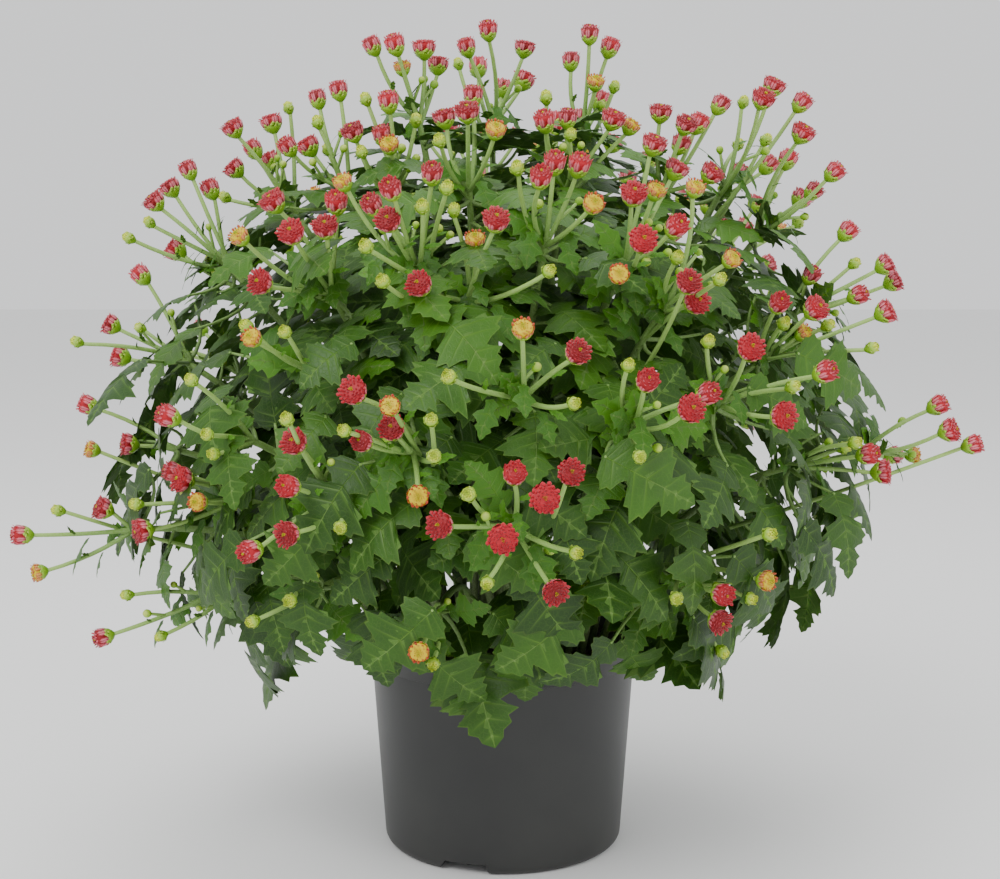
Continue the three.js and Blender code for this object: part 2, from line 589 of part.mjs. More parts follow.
// One closed skin: the stem's rings, with a stalk or petiole drawn out of a side where one grows
class Skin {
  constructor() {
    this.points = [];
    this.faces = [];
  }

  ring(points) {
    return points.map((point) => this.points.push(point) - 1);
  }

  // The edges between two rings that may have different numbers of points
  bridges(lower, upper) {
    const found = [[lower[0], upper[0]]];
    let [i, j] = [0, 0];
    while (i < lower.length || j < upper.length) {
      const onLower = j >= upper.length
        || (i < lower.length && (i + 1) / lower.length <= (j + 1) / upper.length);
      if (onLower) i += 1;
      else j += 1;
      found.push([lower[i % lower.length], upper[j % upper.length]]);
    }
    return found;
  }

  // Triangles between two rings whose first points are in line
  join(lower, upper) {
    const edges = this.bridges(lower, upper);
    for (let k = 0; k + 1 < edges.length; k += 1) {
      const [[a, b], [nextA, nextB]] = [edges[k], edges[k + 1]];
      this.faces.push(a, nextA === a ? nextB : nextA, b);
    }
  }

  // Triangles between two rings, from the pair of first points that leaves the least twist
  joinUntwisted(lower, upper) {
    const turn = (ring, first) => [...ring.slice(first), ...ring.slice(0, first)];
    let best = { long: Infinity };
    for (let i = 0; i < lower.length; i += 1) {
      for (let j = 0; j < upper.length; j += 1) {
        const pair = [turn(lower, i), turn(upper, j)];
        const long = this.bridges(...pair)
          .reduce((sum, [a, b]) => sum + size(minus(this.points[a], this.points[b])), 0);
        if (long < best.long) best = { long, pair };
      }
    }
    this.join(...best.pair);
  }

  // A fan that closes the last ring at a point
  close(ring, apex) {
    const [top] = this.ring([apex]);
    ring.forEach((a, i) => this.faces.push(a, ring[(i + 1) % ring.length], top));
  }

  // The stalk of a head from a ring, and the head: a cup, a rim of petals with notches, a face
  head(ring, head) {
    const { radius, face, petals } = HEADS[head.kind];
    const { line, facing, centre } = head;
    let last = ring;
    for (let i = 1; i < line.length; i += 1) {
      const way = i + 1 < line.length ? unit(minus(line[i + 1], line[i - 1])) : facing;
      last = this.follow(last, line[i], way, 3, () => [STALK_RADIUS, 0]);
    }
    const rim = petals
      ? (k) => (k % 2 ? [radius * 0.78, face * 0.55] : [radius, -0.6])
      : () => [radius, 0];
    last = this.follow(last, centre, facing, petals ? petals * 2 : 5, rim);
    this.close(last, plus(centre, times(facing, face)));
  }

  // The way from the middle of a ring to its first point, seen square to a given way
  clock(ring, way) {
    const sum = ring.reduce((total, i) => plus(total, this.points[i]), [0, 0, 0]);
    const from = minus(this.points[ring[0]], times(sum, 1 / ring.length));
    return unit(minus(from, times(way, dot(from, way))));
  }

  // A new ring whose first point is in line with the first point of the ring below it
  follow(below, centre, way, count, shape) {
    const ring = this.ring(ringAt(centre, way, this.clock(below, way), count, shape));
    this.join(below, ring);
    return ring;
  }

  // A leaf from a ring: a petiole that opens into a lobed blade, thickest along its rib
  leaf(ring, leaf) {
    const base = leafPoint(leaf, 0, 0);
    const side = times(leaf.across, PETIOLE_RADIUS);
    const down = times(leaf.up, -PETIOLE_RADIUS * 1.2);
    const neck = this.ring([plus(base, side), plus(base, down), minus(base, side)]);
    const [right, under, left] = neck;
    this.joinUntwisted(ring, neck);
    const rib = leafPoint(leaf, LEAF_RIB, 0);
    const half = times(leaf.up, LEAF_RIB_THICKNESS / 2);
    const [top, bottom, tip] = this.ring([plus(rib, half), minus(rib, half), leafPoint(leaf, 1, 0)]);
    const edge = (way) => this.ring(LEAF_OUTLINE.map(([u, v]) => leafPoint(leaf, u, v * way)));
    const rightEdge = [right, ...edge(1), tip];
    const leftEdge = [left, ...edge(-1), tip];
    for (let i = 0; i + 1 < rightEdge.length; i += 1) {
      this.faces.push(rightEdge[i], rightEdge[i + 1], top, rightEdge[i + 1], rightEdge[i], bottom);
      this.faces.push(leftEdge[i + 1], leftEdge[i], top, leftEdge[i], leftEdge[i + 1], bottom);
    }
    this.faces.push(left, right, top, right, under, bottom, under, left, bottom);
  }

  geometry() {
    const shape = new THREE.BufferGeometry();
    shape.setAttribute('position', new THREE.Float32BufferAttribute(this.points.flat(), 3));
    shape.setIndex(this.faces);
    return shape;
  }
}

// Where a stem comes out of the soil, a little above its surface
function soilShare(stem) {
  let t = 0;
  while (bezier(stem, t)[2] < SOIL_TOP + SOIL_LUMP + 2) t += 0.005;
  return t;
}

// The skin of a leafy stem. Each whorl is a short stretch between two rings, and a stalk or
// petiole is drawn out of each of its sides that carries one.
function leafyStem(spray) {
  const { stem } = spray;
  const long = size(minus(stem[3], stem[0]));
  const half = WHORL_HALF / long;
  const whorls = [...spray.whorls.filter(Boolean), ...spray.leafWhorls].sort((a, b) => a.t - b.t);
  const stops = [{ t: 0 }, { t: soilShare(stem) }];
  for (const whorl of [...whorls, { t: 1 + half, branches: {} }]) {
    const last = stops[stops.length - 1].t;
    const gap = whorl.t - half - last;
    const extra = Math.ceil((gap * long) / PLAIN_STRETCH);
    for (let i = 1; i < extra; i += 1) stops.push({ t: last + (gap * i) / extra });
    stops.push({ t: whorl.t - half, branches: whorl.branches });
    if (whorl.t < 1) stops.push({ t: whorl.t + half });
  }
  const skin = new Skin();
  let below = null;
  let branches = {};
  for (const stop of stops) {
    const frame = stemFrame(stem, Math.min(stop.t, 1));
    const radius = STEM_ROOT_RADIUS + (STEM_END_RADIUS - STEM_ROOT_RADIUS) * Math.min(stop.t, 1);
    const ring = skin.ring(ringAt(frame.at, frame.way, frame.aside, STEM_SIDES, () => [radius, 0]));
    if (!below) skin.faces.push(ring[0], ring[2], ring[1]);
    for (let k = 0; below && k < STEM_SIDES; k += 1) {
      const next = (k + 1) % STEM_SIDES;
      const patch = [below[k], below[next], ring[next], ring[k]];
      if (branches[k]?.head) skin.head(patch, branches[k].head);
      else if (branches[k]) skin.leaf(patch, branches[k].leaf);
      else skin.faces.push(patch[0], patch[1], patch[2], patch[0], patch[2], patch[3]);
    }
    below = ring;
    branches = stop.branches ?? {};
  }
  skin.head(below, spray.terminal);
  return skin;
}

// Joining and cutting closed shapes

function toSolid(shape) {
  const bare = shape.clone();
  bare.deleteAttribute('normal');
  bare.deleteAttribute('uv');
  const merged = mergeVertices(bare, 1e-3);
  return new wasm.Manifold(new wasm.Mesh({
    numProp: 3,
    vertProperties: merged.attributes.position.array,
    triVerts: new Uint32Array(merged.index.array),
  }));
}

function toGeometry(body) {
  const { vertProperties, triVerts } = body.getMesh();
  const shape = new THREE.BufferGeometry();
  shape.setAttribute('position', new THREE.BufferAttribute(vertProperties, 3));
  shape.setIndex(new THREE.BufferAttribute(triVerts, 1));
  return shape;
}

const lathe = (profile, sides) => new THREE.LatheGeometry(
  profile.map(([r, z]) => new THREE.Vector2(r, z)), sides,
).rotateX(Math.PI / 2);

// The pot: foot ring, raised floor, tapered wall, a small step and the flared collar to the lip
function potShape() {
  const floorTop = FOOT_HEIGHT + FLOOR_THICKNESS;
  const profile = [
    [0, FOOT_HEIGHT],
    [BASE_RADIUS - BASE_ROUNDING - FOOT_WIDTH, FOOT_HEIGHT],
    [BASE_RADIUS - BASE_ROUNDING - FOOT_WIDTH + 1, 0],
    [BASE_RADIUS - BASE_ROUNDING, 0],
    [BASE_RADIUS - BASE_ROUNDING * 0.25, BASE_ROUNDING * 0.35],
    [BASE_RADIUS, BASE_ROUNDING],
    [COLLAR_RADIUS - COLLAR_STEP, COLLAR_Z],
    [COLLAR_RADIUS, COLLAR_Z + 0.8],
    [LIP_RADIUS - 1.2, POT_HEIGHT - 3.4],
    [LIP_RADIUS, POT_HEIGHT - 2],
    [LIP_RADIUS - 1.2, POT_HEIGHT],
    [LIP_RADIUS - LIP_THICKNESS - 1.2, POT_HEIGHT - 0.9],
    [COLLAR_RADIUS - WALL, COLLAR_Z + 2.4],
    [BASE_RADIUS - WALL, floorTop + 1],
    [0, floorTop],
  ];
  let pot = toSolid(lathe(profile, POT_SIDES));
  const notch = new THREE.Shape([
    [-NOTCH_WIDTH / 2 - NOTCH_SLANT, -1], [NOTCH_WIDTH / 2 + 1, -1],
    [NOTCH_WIDTH / 2, NOTCH_HEIGHT], [-NOTCH_WIDTH / 2, NOTCH_HEIGHT],
  ].map(([x, z]) => new THREE.Vector2(x, z)));
  for (let i = 0; i < NOTCH_COUNT; i += 1) {
    const turn = ((NOTCH_AZIMUTH + (360 * i) / NOTCH_COUNT) * Math.PI) / 180;
    const cutter = new THREE.ExtrudeGeometry(notch, { depth: 24, bevelEnabled: false })
      .rotateX(Math.PI / 2).translate(0, -BASE_RADIUS + 20, 0).rotateZ(turn + Math.PI / 2);
    const drain = new THREE.CylinderGeometry(DRAIN_RADIUS, DRAIN_RADIUS, 12, 8)
      .rotateX(Math.PI / 2).translate(DRAIN_CENTRE, 0, FOOT_HEIGHT)
      .rotateZ(turn + Math.PI / NOTCH_COUNT);
    pot = pot.subtract(toSolid(cutter)).subtract(toSolid(drain));
  }
  return toGeometry(pot);
}

// The soil: it fills the pot up to its collar, with an uneven top and a hole for each stem
function soilShape(sprays) {
  const bottom = FOOT_HEIGHT + FLOOR_THICKNESS + 1 + SOIL_GAP;
  const inner = (z) => BASE_RADIUS - WALL - SOIL_GAP
    + ((COLLAR_RADIUS - BASE_RADIUS) * (z - bottom)) / (COLLAR_Z + 2.4 - bottom);
  const skin = new Skin();
  const level = (count, radius, lump, z = SOIL_TOP) => skin.ring(ringAt(
    [0, 0, z], UP, [0, -1, 0], count,
    (k) => [radius, lump * (chance(k, count, 9) - 0.5)],
  ));
  const floor = level(POT_SIDES, inner(bottom), 0, bottom);
  for (let i = 1; i + 1 < floor.length; i += 1) skin.faces.push(floor[0], floor[i + 1], floor[i]);
  const shoulder = level(POT_SIDES, inner(COLLAR_Z), 0, COLLAR_Z);
  const edge = level(POT_SIDES, inner(COLLAR_Z + 2), 0, SOIL_TOP - 2.2);
  const outer = level(16, ROOT_REACH + 9, SOIL_LUMP * 2);
  const middle = level(8, ROOT_REACH * 0.55, SOIL_LUMP * 2);
  skin.join(floor, shoulder);
  skin.join(shoulder, edge);
  skin.join(edge, outer);
  skin.join(outer, middle);
  skin.close(middle, [0, 0, SOIL_TOP + SOIL_LUMP]);
  let soil = toSolid(skin.geometry());
  for (const { stem } of sprays) {
    const hole = new Skin();
    const ends = [-0.004, soilShare(stem)].map((t) => {
      const frame = stemFrame(stem, Math.max(t, 0));
      const at = plus(frame.at, times(frame.way, t < 0 ? -HOLE_GAP : 0));
      const grow = HOLE_GAP / Math.cos(Math.PI / STEM_SIDES);
      const radius = STEM_ROOT_RADIUS + (STEM_END_RADIUS - STEM_ROOT_RADIUS) * Math.max(t, 0);
      return hole.ring(ringAt(at, frame.way, frame.aside, STEM_SIDES, () => [radius + grow, 0]));
    });
    hole.faces.push(ends[0][0], ends[0][2], ends[0][1], ends[1][0], ends[1][1], ends[1][2]);
    hole.join(ends[0], ends[1]);
    soil = soil.subtract(toSolid(hole.geometry()));
  }
  return toGeometry(soil);
}

// The finished plant

const plant = new THREE.Group();

function addPiece(name, shape, color, roughness) {
  const piece = new THREE.Mesh(shape, new THREE.MeshStandardMaterial({ color, roughness, metalness: 0 }));
  piece.name = name;
  plant.add(piece);
}

const sprays = placeSprays();
for (const spray of sprays.slice().sort((a, b) => a.middle[2] - b.middle[2])) {
  spray.stem = growStem(spray);
}
for (const spray of sprays) {
  spray.whorls = [];
  spray.leafWhorls = [];
  spray.leafCount = 0;
  growStalks(spray);
}
for (const spray of sprays) growLeaves(spray);

addPiece('pot', potShape(), POT_PLASTIC, 0.42);
addPiece('soil', soilShape(sprays), SOIL_BROWN, 0.95);
for (const spray of sprays) {
  addPiece(`stem_${spray.name}`, leafyStem(spray).geometry(), LEAF_GREEN, 0.7);
}

export default plant;
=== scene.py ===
# %% [markdown]
# # A garden chrysanthemum in a nursery pot
# The plant is a dome of many leafy stems. Each stem carries lobed leaves and ends in a spray of
# small double heads and buds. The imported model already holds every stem, stalk, leaf and head
# in a plain form, and it fixes where each one is. This lesson grows the same plant again from
# the same rule, with fine leaves, petals in rings, calyx and buds, and then gives every surface
# its material. Everything is in metres, +Z up, with the front of the plant towards -Y.

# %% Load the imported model
import bpy
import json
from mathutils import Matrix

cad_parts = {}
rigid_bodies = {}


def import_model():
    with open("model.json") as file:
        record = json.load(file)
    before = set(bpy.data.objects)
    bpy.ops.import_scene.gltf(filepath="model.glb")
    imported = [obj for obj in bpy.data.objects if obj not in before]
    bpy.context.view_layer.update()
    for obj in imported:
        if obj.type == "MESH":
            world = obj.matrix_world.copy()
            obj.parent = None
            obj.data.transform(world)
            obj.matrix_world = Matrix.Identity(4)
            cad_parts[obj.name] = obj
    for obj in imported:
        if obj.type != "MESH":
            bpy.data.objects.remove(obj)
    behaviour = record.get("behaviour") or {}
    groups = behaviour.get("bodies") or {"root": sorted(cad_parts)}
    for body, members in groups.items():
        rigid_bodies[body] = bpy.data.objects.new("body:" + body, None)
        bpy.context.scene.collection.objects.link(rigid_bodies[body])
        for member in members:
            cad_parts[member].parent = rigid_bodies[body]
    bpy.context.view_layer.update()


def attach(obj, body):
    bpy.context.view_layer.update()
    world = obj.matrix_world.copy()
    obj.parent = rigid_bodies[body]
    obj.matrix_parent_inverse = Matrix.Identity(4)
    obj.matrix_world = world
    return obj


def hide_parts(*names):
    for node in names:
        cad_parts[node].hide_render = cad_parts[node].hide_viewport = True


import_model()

# %% Modules and units
import json
import math
import random
import numpy as np
from mathutils import Matrix, Vector

MM = 0.001

# %% [markdown]
# ## Camera, floor and light
# The plant was seen from a little over a metre away, slightly from above. A soft studio has one
# large light above and in front, a weaker one from the other side, and a pale floor.

# %% Camera
CAMERA_BACK = 1063
CAMERA_HEIGHT = 398
CAMERA_SIDE = -1.9
CAMERA_TILT = 0.1323
CAMERA_FOCAL = 1708
PHOTO_WIDTH = 1000
PHOTO_HEIGHT = 879
SENSOR = 36

lens = bpy.data.cameras.new("camera")
lens.sensor_fit = "HORIZONTAL"
lens.sensor_width = SENSOR
lens.lens = SENSOR * CAMERA_FOCAL / PHOTO_WIDTH
camera = bpy.data.objects.new("camera", lens)
camera.location = (CAMERA_SIDE * MM, -CAMERA_BACK * MM, CAMERA_HEIGHT * MM)
camera.rotation_euler = (math.pi / 2 - CAMERA_TILT, 0, 0)
bpy.context.collection.objects.link(camera)
bpy.context.scene.camera = camera
print("lens", round(lens.lens, 1), "mm")

# %% Colours and nodes
def colour(code):
    """The linear colour of an sRGB hex value such as '3c3e41'."""
    parts = [int(code[i:i + 2], 16) / 255 for i in (0, 2, 4)]
    return tuple(p / 12.92 if p <= 0.04045 else ((p + 0.055) / 1.055) ** 2.4 for p in parts) + (1,)


def add(tree, kind, links=(), stops=(), **settings):
    """Adds a node, or sets one that is there. A setting is a property or a socket. The links give
    inputs by name or in order, each as an output or a node (its first output) to join, a number,
    or a colour as a hex value. The stops are the places and colours of a colour ramp."""
    node = tree.nodes.new(kind) if isinstance(kind, str) else kind
    for key, value in settings.items():
        if hasattr(node, key):
            setattr(node, key, value)
        else:
            node.inputs[key.replace("_", " ")].default_value = value
    for name, value in links.items() if isinstance(links, dict) else enumerate(links):
        if isinstance(value, (bpy.types.Node, bpy.types.NodeSocket)):
            tree.links.new(getattr(value, "outputs", [value])[0], node.inputs[name])
        else:
            node.inputs[name].default_value = colour(value) if isinstance(value, str) else value
    for number, (place, code) in enumerate(stops):
        elements = node.color_ramp.elements
        element = elements[number] if number < len(elements) else elements.new(1)
        element.position = place
        element.color = colour(code)
    return node

# %% Floor and studio light
def soft_light(name, place, aim, side, power):
    light = bpy.data.lights.new(name, "AREA")
    light.shape = "DISK"
    light.size = side
    light.energy = power
    lamp = bpy.data.objects.new(name, light)
    lamp.location = place
    lamp.rotation_euler = (Vector(aim) - Vector(place)).to_track_quat("-Z", "Y").to_euler()
    bpy.context.collection.objects.link(lamp)


soft_light("key_light", (-0.9, -1.5, 1.9), (0, 0, 0.3), 1.3, 34)
soft_light("fill_light", (1.5, -1.2, 0.9), (0, 0, 0.25), 1.6, 9)
soft_light("top_light", (0.1, 0.5, 2.0), (0, 0, 0.3), 1.4, 12)
world = bpy.data.worlds.new("studio")
world.use_nodes = True
world.node_tree.nodes["Background"].inputs["Color"].default_value = colour("f4f5f6")
world.node_tree.nodes["Background"].inputs["Strength"].default_value = 1.15
bpy.context.scene.world = world

floor_mesh = bpy.data.meshes.new("floor")
FLOOR_HALF = 6
floor_mesh.from_pydata(
    [(x * FLOOR_HALF, y * FLOOR_HALF, 0) for x, y in ((-1, -1), (1, -1), (1, 1), (-1, 1))],
    [], [(0, 1, 2, 3)])
floor = bpy.data.objects.new("floor", floor_mesh)
bpy.context.collection.objects.link(floor)
paint = bpy.data.materials.new("pale_floor")
paint.use_nodes = True
paint.node_tree.nodes["Principled BSDF"].inputs["Base Color"].default_value = colour("f1f1f0")
paint.node_tree.nodes["Principled BSDF"].inputs["Roughness"].default_value = 0.8
floor_mesh.materials.append(paint)

# %% [markdown]
# ## The growth rule
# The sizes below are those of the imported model. A spray is a list of heads with their places in
# the photograph, and each place is turned into a point on the dome of the crown. From these
# points the rule finds a stem for each spray, a stalk for each head and pairs of leaves, each
# time taking the first try that stays clear of everything that is already there. The tries are
# drawn by a fixed rule, so the plant grows the same way each time.

# %% Sizes of the crown, the stems and the stalks, in millimetres
POT_HEIGHT = 138
LIP_RADIUS = 97.5
SOIL_TOP = 124
SOIL_LUMP = 1.6
STEM_DEPTH = 26
DOME_CENTRE = (-5, 0, 265)
DOME_WIDE = 262
DOME_DEEP = 250
DOME_HIGH = 245
DOME_LOW = 190
ROOT_REACH = 64
ROOT_SPACING = 10.5
STEM_ROOT_RADIUS = 2.7
STEM_END_RADIUS = 1.9
STALK_RADIUS = 1.3
STALK_SPLAY = 0.8
STALK_BENDS = (0.25, 0.6)
END_BENDS = (0.4, 0.2, 0.6)
HEAD_FOLLOW = 1.2
STRAIGHT_STALK = 30
STEM_SIDES = 3
ROOT_SWING = 3.2
ROOT_INWARD = (0.1, 0.55)
HUB_BELOW = 38
HUB_MORE = 26
HUB_UP = 0.25
HUB_TURN = 0.7
HUB_PULL = 0.38
STEM_UPRIGHT = (0.35, 0.65)
LEAST_RISE = 78
SHOULDER_OUT = 0.13
STEM_GAP = 1.2
STEM_POT_GAP = 5
LIP_CLEAR = 12
STEM_TEST_STEP = 6
STEM_TRIES = 300
STALK_TRIES = 1200
STALK_LEVELS = 7
STALK_DEEP_LEVELS = 24
WHORL_STEP = 7
FRAME_STEPS = 12
STEM_PART = 99
DOT_STEP = 3
END_SKIP = 3
STALK_GAP = 0.9
STALK_LEAST_GAP = 0.5
STALK_CAREFUL = 1140
STALK_OWN_GAP = 0.5
STALK_HOME = 6.5
STALK_POT_GAP = 3
LEAST_LIFT = 0.2
LEAST_IN_LINE = 0.1

# %% Sizes of the heads and the leaves
HEADS = {
    "R": {"radius": 9.2, "cup": 7.5, "face": 3.4},
    "P": {"radius": 7.8, "cup": 8.2, "face": 4.2},
    "O": {"radius": 7.2, "cup": 6.4, "face": 2.2},
    "G": {"radius": 4.9, "cup": 5.2, "face": 3.8},
}
HEAD_GAP = 1.0
HEAD_TRIES = 12
HEAD_DEPTH_BIAS = 0.35
HEAD_DEPTH_SPREAD = 26
HEAD_TRY_STEP = 9
HEAD_FACES_UP = 0.7
LEAF_LONG = 86
LEAF_SHORT = 46
PETIOLE_SHARE = 0.22
PETIOLE_RADIUS = 1.25
LEAF_STEP = 57
LEAF_FROM = 0.44
LEAVES_BELOW_HUB = 8
LEAVES_A_WHORL = 2
LEAF_BALL = 2.4
LEAF_GAP = 4.5
LEAF_OWN_GAP = 1
LEAF_HOME = 8
LEAF_POT_GAP = 4
LEAF_LOWEST = 12
LEAF_SIZES = (0.86, 1.14)
LEAF_SHRINK = 0.02
LEAF_SWING = 0.8
LEAF_SAG = 0.35
LEAF_FACES_UP = 0.5
LEAF_FORWARD = 0.45
LEAF_RISE = 0.16
LEAF_DROOP = 0.34
LEAF_HANG = 0.5
LEAF_TRIES = 32
LEAF_TEST_ROWS = 10
LEAF_TEST_COLUMNS = 3
LEAF_OUTLINE = ((0.12, 0.27), (0.31, 0.13), (0.55, 0.43), (0.68, 0.17))

# %% [markdown]
# ### The sprays
# Each spray is a few heads on one stem. The front ones are placed one by one, and the back half
# repeats some of them, each turned about the pot.

# %% The sprays
# The first number is how deep the spray stands, from 0 at the front of the crown to 1 in its
# middle and more behind it. Each head is its kind and its place in the photograph in pixels:
# R open red, P half open, O young with a bright eye, G a bud.
FRONT_SPRAYS = {
    "left_low": "0.8 P18,535 O36,573 G56,510 R101,508",
    "left_mid": "0.35 R140,531 G134,504 O197,502 R181,479 P170,471",
    "left_hang": "0.75 P100,638 G159,637 G125,595",
    "left_out": "1.15 P85,404 O89,449 R126,444",
    "left_high": "1.3 R109,324 R118,356 G75,341 G139,327 P139,273",
    "left_inner": "0.1 P165,415 G190,379 G206,434 G212,454",
    "shoulder_left": "1.1 R169,186 R153,200 P187,167 G148,221 P209,186 R174,249 G127,237 G210,259",
    "crown_left": "1.35 R232,126 R271,121 P252,147 R233,167 R271,160 G288,106 G223,196",
    "crown_left_top": "0.9 P317,96 G317,120 P286,144 R307,144 G327,148 P338,87",
    "front_left_high": "0.1 R272,200 R291,232 R325,226 O238,235 R260,282 P336,200",
    "top_left": "0.9 P371,43 P394,41 R424,46 R438,63 O402,65",
    "top_left_front": "0.5 G365,97 P388,98 R352,130 P382,132 O389,143 G361,150 G416,118",
    "top_middle": "1.45 P466,44 G458,62 P488,27 P478,65 R525,46 R524,79 P503,87",
    "top_middle_front": "0.25 R444,115 R467,110 P473,92 O496,128 G439,139",
    "top_right": "1 P590,31 P611,44 P571,58 O596,80 G615,85 P601,99",
    "top_right_front": "0.45 R614,117 O632,124 G546,95 P544,118 P568,115 G571,133",
    "front_high": "0.05 P432,171 G447,186 G422,205 R388,220 P390,187 P371,203 O342,180 G365,245",
    "front_centre_high": "0.1 R496,219 O475,238 G454,208 G550,270 R419,284 G382,280",
    "front_middle_high": "0.1 P541,175 P555,160 G517,166 P580,162 O594,203",
    "front_right_high": "0.1 R634,193 R643,240 O657,189 P678,225 R655,142 R678,167 O619,274",
    "crown_right_top": "0.65 R661,110 R687,123 P700,120 P682,141 P722,102 R713,172",
    "crown_right": "1.2 G744,100 R775,84 R764,97 P804,100 R741,173 G767,138 P770,163 G739,143",
    "shoulder_right": "1.35 R804,131 P789,157 P837,170 R802,198 P816,189 G799,222",
    "right_inner_high": "0.1 O733,258 G678,256 R689,282 G721,278 R697,301 O696,186",
    "right_high": "0.9 P850,229 G856,262 R887,264 R895,281 P861,294 P813,273",
    "right_mid": "0.35 R817,308 O806,332 G830,324 R888,311 G874,347 P780,302 G785,322",
    "right_inner": "0.1 P828,371 G795,386 R784,416 R751,348 G709,340",
    "right_out": "1.1 P941,404 R952,430 P976,444 O916,455 P895,455",
    "right_low": "0.6 R885,472 P871,454 G857,442 G846,447",
    "front_right": "0 R691,409 P710,393 P648,380 G629,364 G640,457",
    "right_hang": "0.15 O768,581 G771,534 P724,595 G752,599 G677,599 R720,622 G724,653",
    "front_middle": "0 O523,328 R578,352 G575,403 G448,376",
    "front_left": "0 R353,391 G343,430 P361,441 O390,406 R392,428 G431,419 G434,456 O418,496",
    "front_centre": "0 R440,525 G468,494 R503,539 P515,473 R545,499 R571,473 G577,553 R555,592 "
                    "G487,584",
    "front_left_low": "0.05 G286,418 R294,442 P287,486 R287,534 P248,552 G340,528",
    "front_hang_left": "0.1 G289,601 G251,622",
    "front_hang": "0.1 G429,625 G400,643 O419,652 G433,665",
    "left_front_high": "0.1 O251,337 G245,325 G284,331",
}
# Sprays that are repeated on the back half, each turned about the pot's axis by its own angle
BACK_SPRAYS = {"front_centre": 141, "front_left": 203, "front_right": 222, "front_middle": 122,
    "front_left_low": 178, "right_hang": 206, "right_inner": 166, "front_middle_high": 176,
    "front_high": 218, "front_left_high": 158, "right_inner_high": 192, "front_right_high": 117,
    "top_left_front": 188, "top_middle_front": 171, "top_right_front": 163, "left_front_high": 241,
    "left_inner": 184}
BACK_KEPT = "RPO"
BACK_SHIFT = 4.1
print("sprays", len(FRONT_SPRAYS), "front,", len(BACK_SPRAYS), "back")

# %% [markdown]
# ### Vectors and chance
# Points are plain triples, and chance gives the same fraction each time for the same numbers.

# %% Vector helpers and the rule's chance
def plus(a, b):
    return (a[0] + b[0], a[1] + b[1], a[2] + b[2])


def minus(a, b):
    return (a[0] - b[0], a[1] - b[1], a[2] - b[2])


def times(a, k):
    return (a[0] * k, a[1] * k, a[2] * k)


def dot(a, b):
    return a[0] * b[0] + a[1] * b[1] + a[2] * b[2]


def size(a):
    return math.sqrt(dot(a, a))


def unit(a):
    return times(a, 1 / max(size(a), 1e-9))


def cross(a, b):
    return (a[1] * b[2] - a[2] * b[1], a[2] * b[0] - a[0] * b[2], a[0] * b[1] - a[1] * b[0])


def toward(a, b, share):
    return plus(times(a, 1 - share), times(b, share))


def between(pair, share):
    return pair[0] + (pair[1] - pair[0]) * share


UP = (0, 0, 1)
WORD = 0xFFFFFFFF
CHANCE_START = 2166136261
KEY_STEP = 374761393
FIRST_FACTOR = 668265263
SECOND_FACTOR = 2246822519


def chance(*keys):
    """A repeatable fraction from 0 to 1 for a set of whole numbers."""
    state = CHANCE_START
    for key in keys:
        state = ((state ^ (key + KEY_STEP)) * FIRST_FACTOR) & WORD
        state = ((state ^ (state >> 15)) * SECOND_FACTOR) & WORD
        state = (state ^ (state >> 13)) & WORD
    return state / (WORD + 1)

# %% [markdown]
# ### The dome
# A place in the photograph becomes the point where its ray meets the dome of the crown.

# %% The dome
def dome_point(px, py, depth):
    """The point on a pixel's ray at that depth of the dome, and the ray's direction."""
    right = (px - PHOTO_WIDTH / 2) / CAMERA_FOCAL
    rise = (PHOTO_HEIGHT / 2 - py) / CAMERA_FOCAL
    ray = (
        right,
        math.cos(CAMERA_TILT) + rise * math.sin(CAMERA_TILT),
        -math.sin(CAMERA_TILT) + rise * math.cos(CAMERA_TILT),
    )
    eye = (CAMERA_SIDE, -CAMERA_BACK, CAMERA_HEIGHT)

    def meet(high):
        scale = (DOME_WIDE, DOME_DEEP, high)
        start = tuple(v / s for v, s in zip(minus(eye, DOME_CENTRE), scale))
        along = tuple(v / s for v, s in zip(ray, scale))
        nearest = -dot(start, along) / dot(along, along)
        apart = plus(start, times(along, nearest))
        inside = max(0, 1 - dot(apart, apart))
        return plus(eye, times(ray, nearest - ((1 - depth) * math.sqrt(inside)) / size(along)))

    upper = meet(DOME_HIGH)
    return (upper if upper[2] >= DOME_CENTRE[2] else meet(DOME_LOW)), unit(ray)


def outward(point):
    return unit((
        (point[0] - DOME_CENTRE[0]) / DOME_WIDE,
        point[1] / DOME_DEEP,
        (point[2] - DOME_CENTRE[2]) / DOME_HIGH,
    ))


def turned(point, degrees):
    angle = degrees * math.pi / 180
    cos, sin = math.cos(angle), math.sin(angle)
    return (point[0] * cos - point[1] * sin, point[0] * sin + point[1] * cos, point[2])

# %% [markdown]
# ### Room to grow
# Whatever has grown leaves a row of balls, and whatever grows next must stay clear of them.

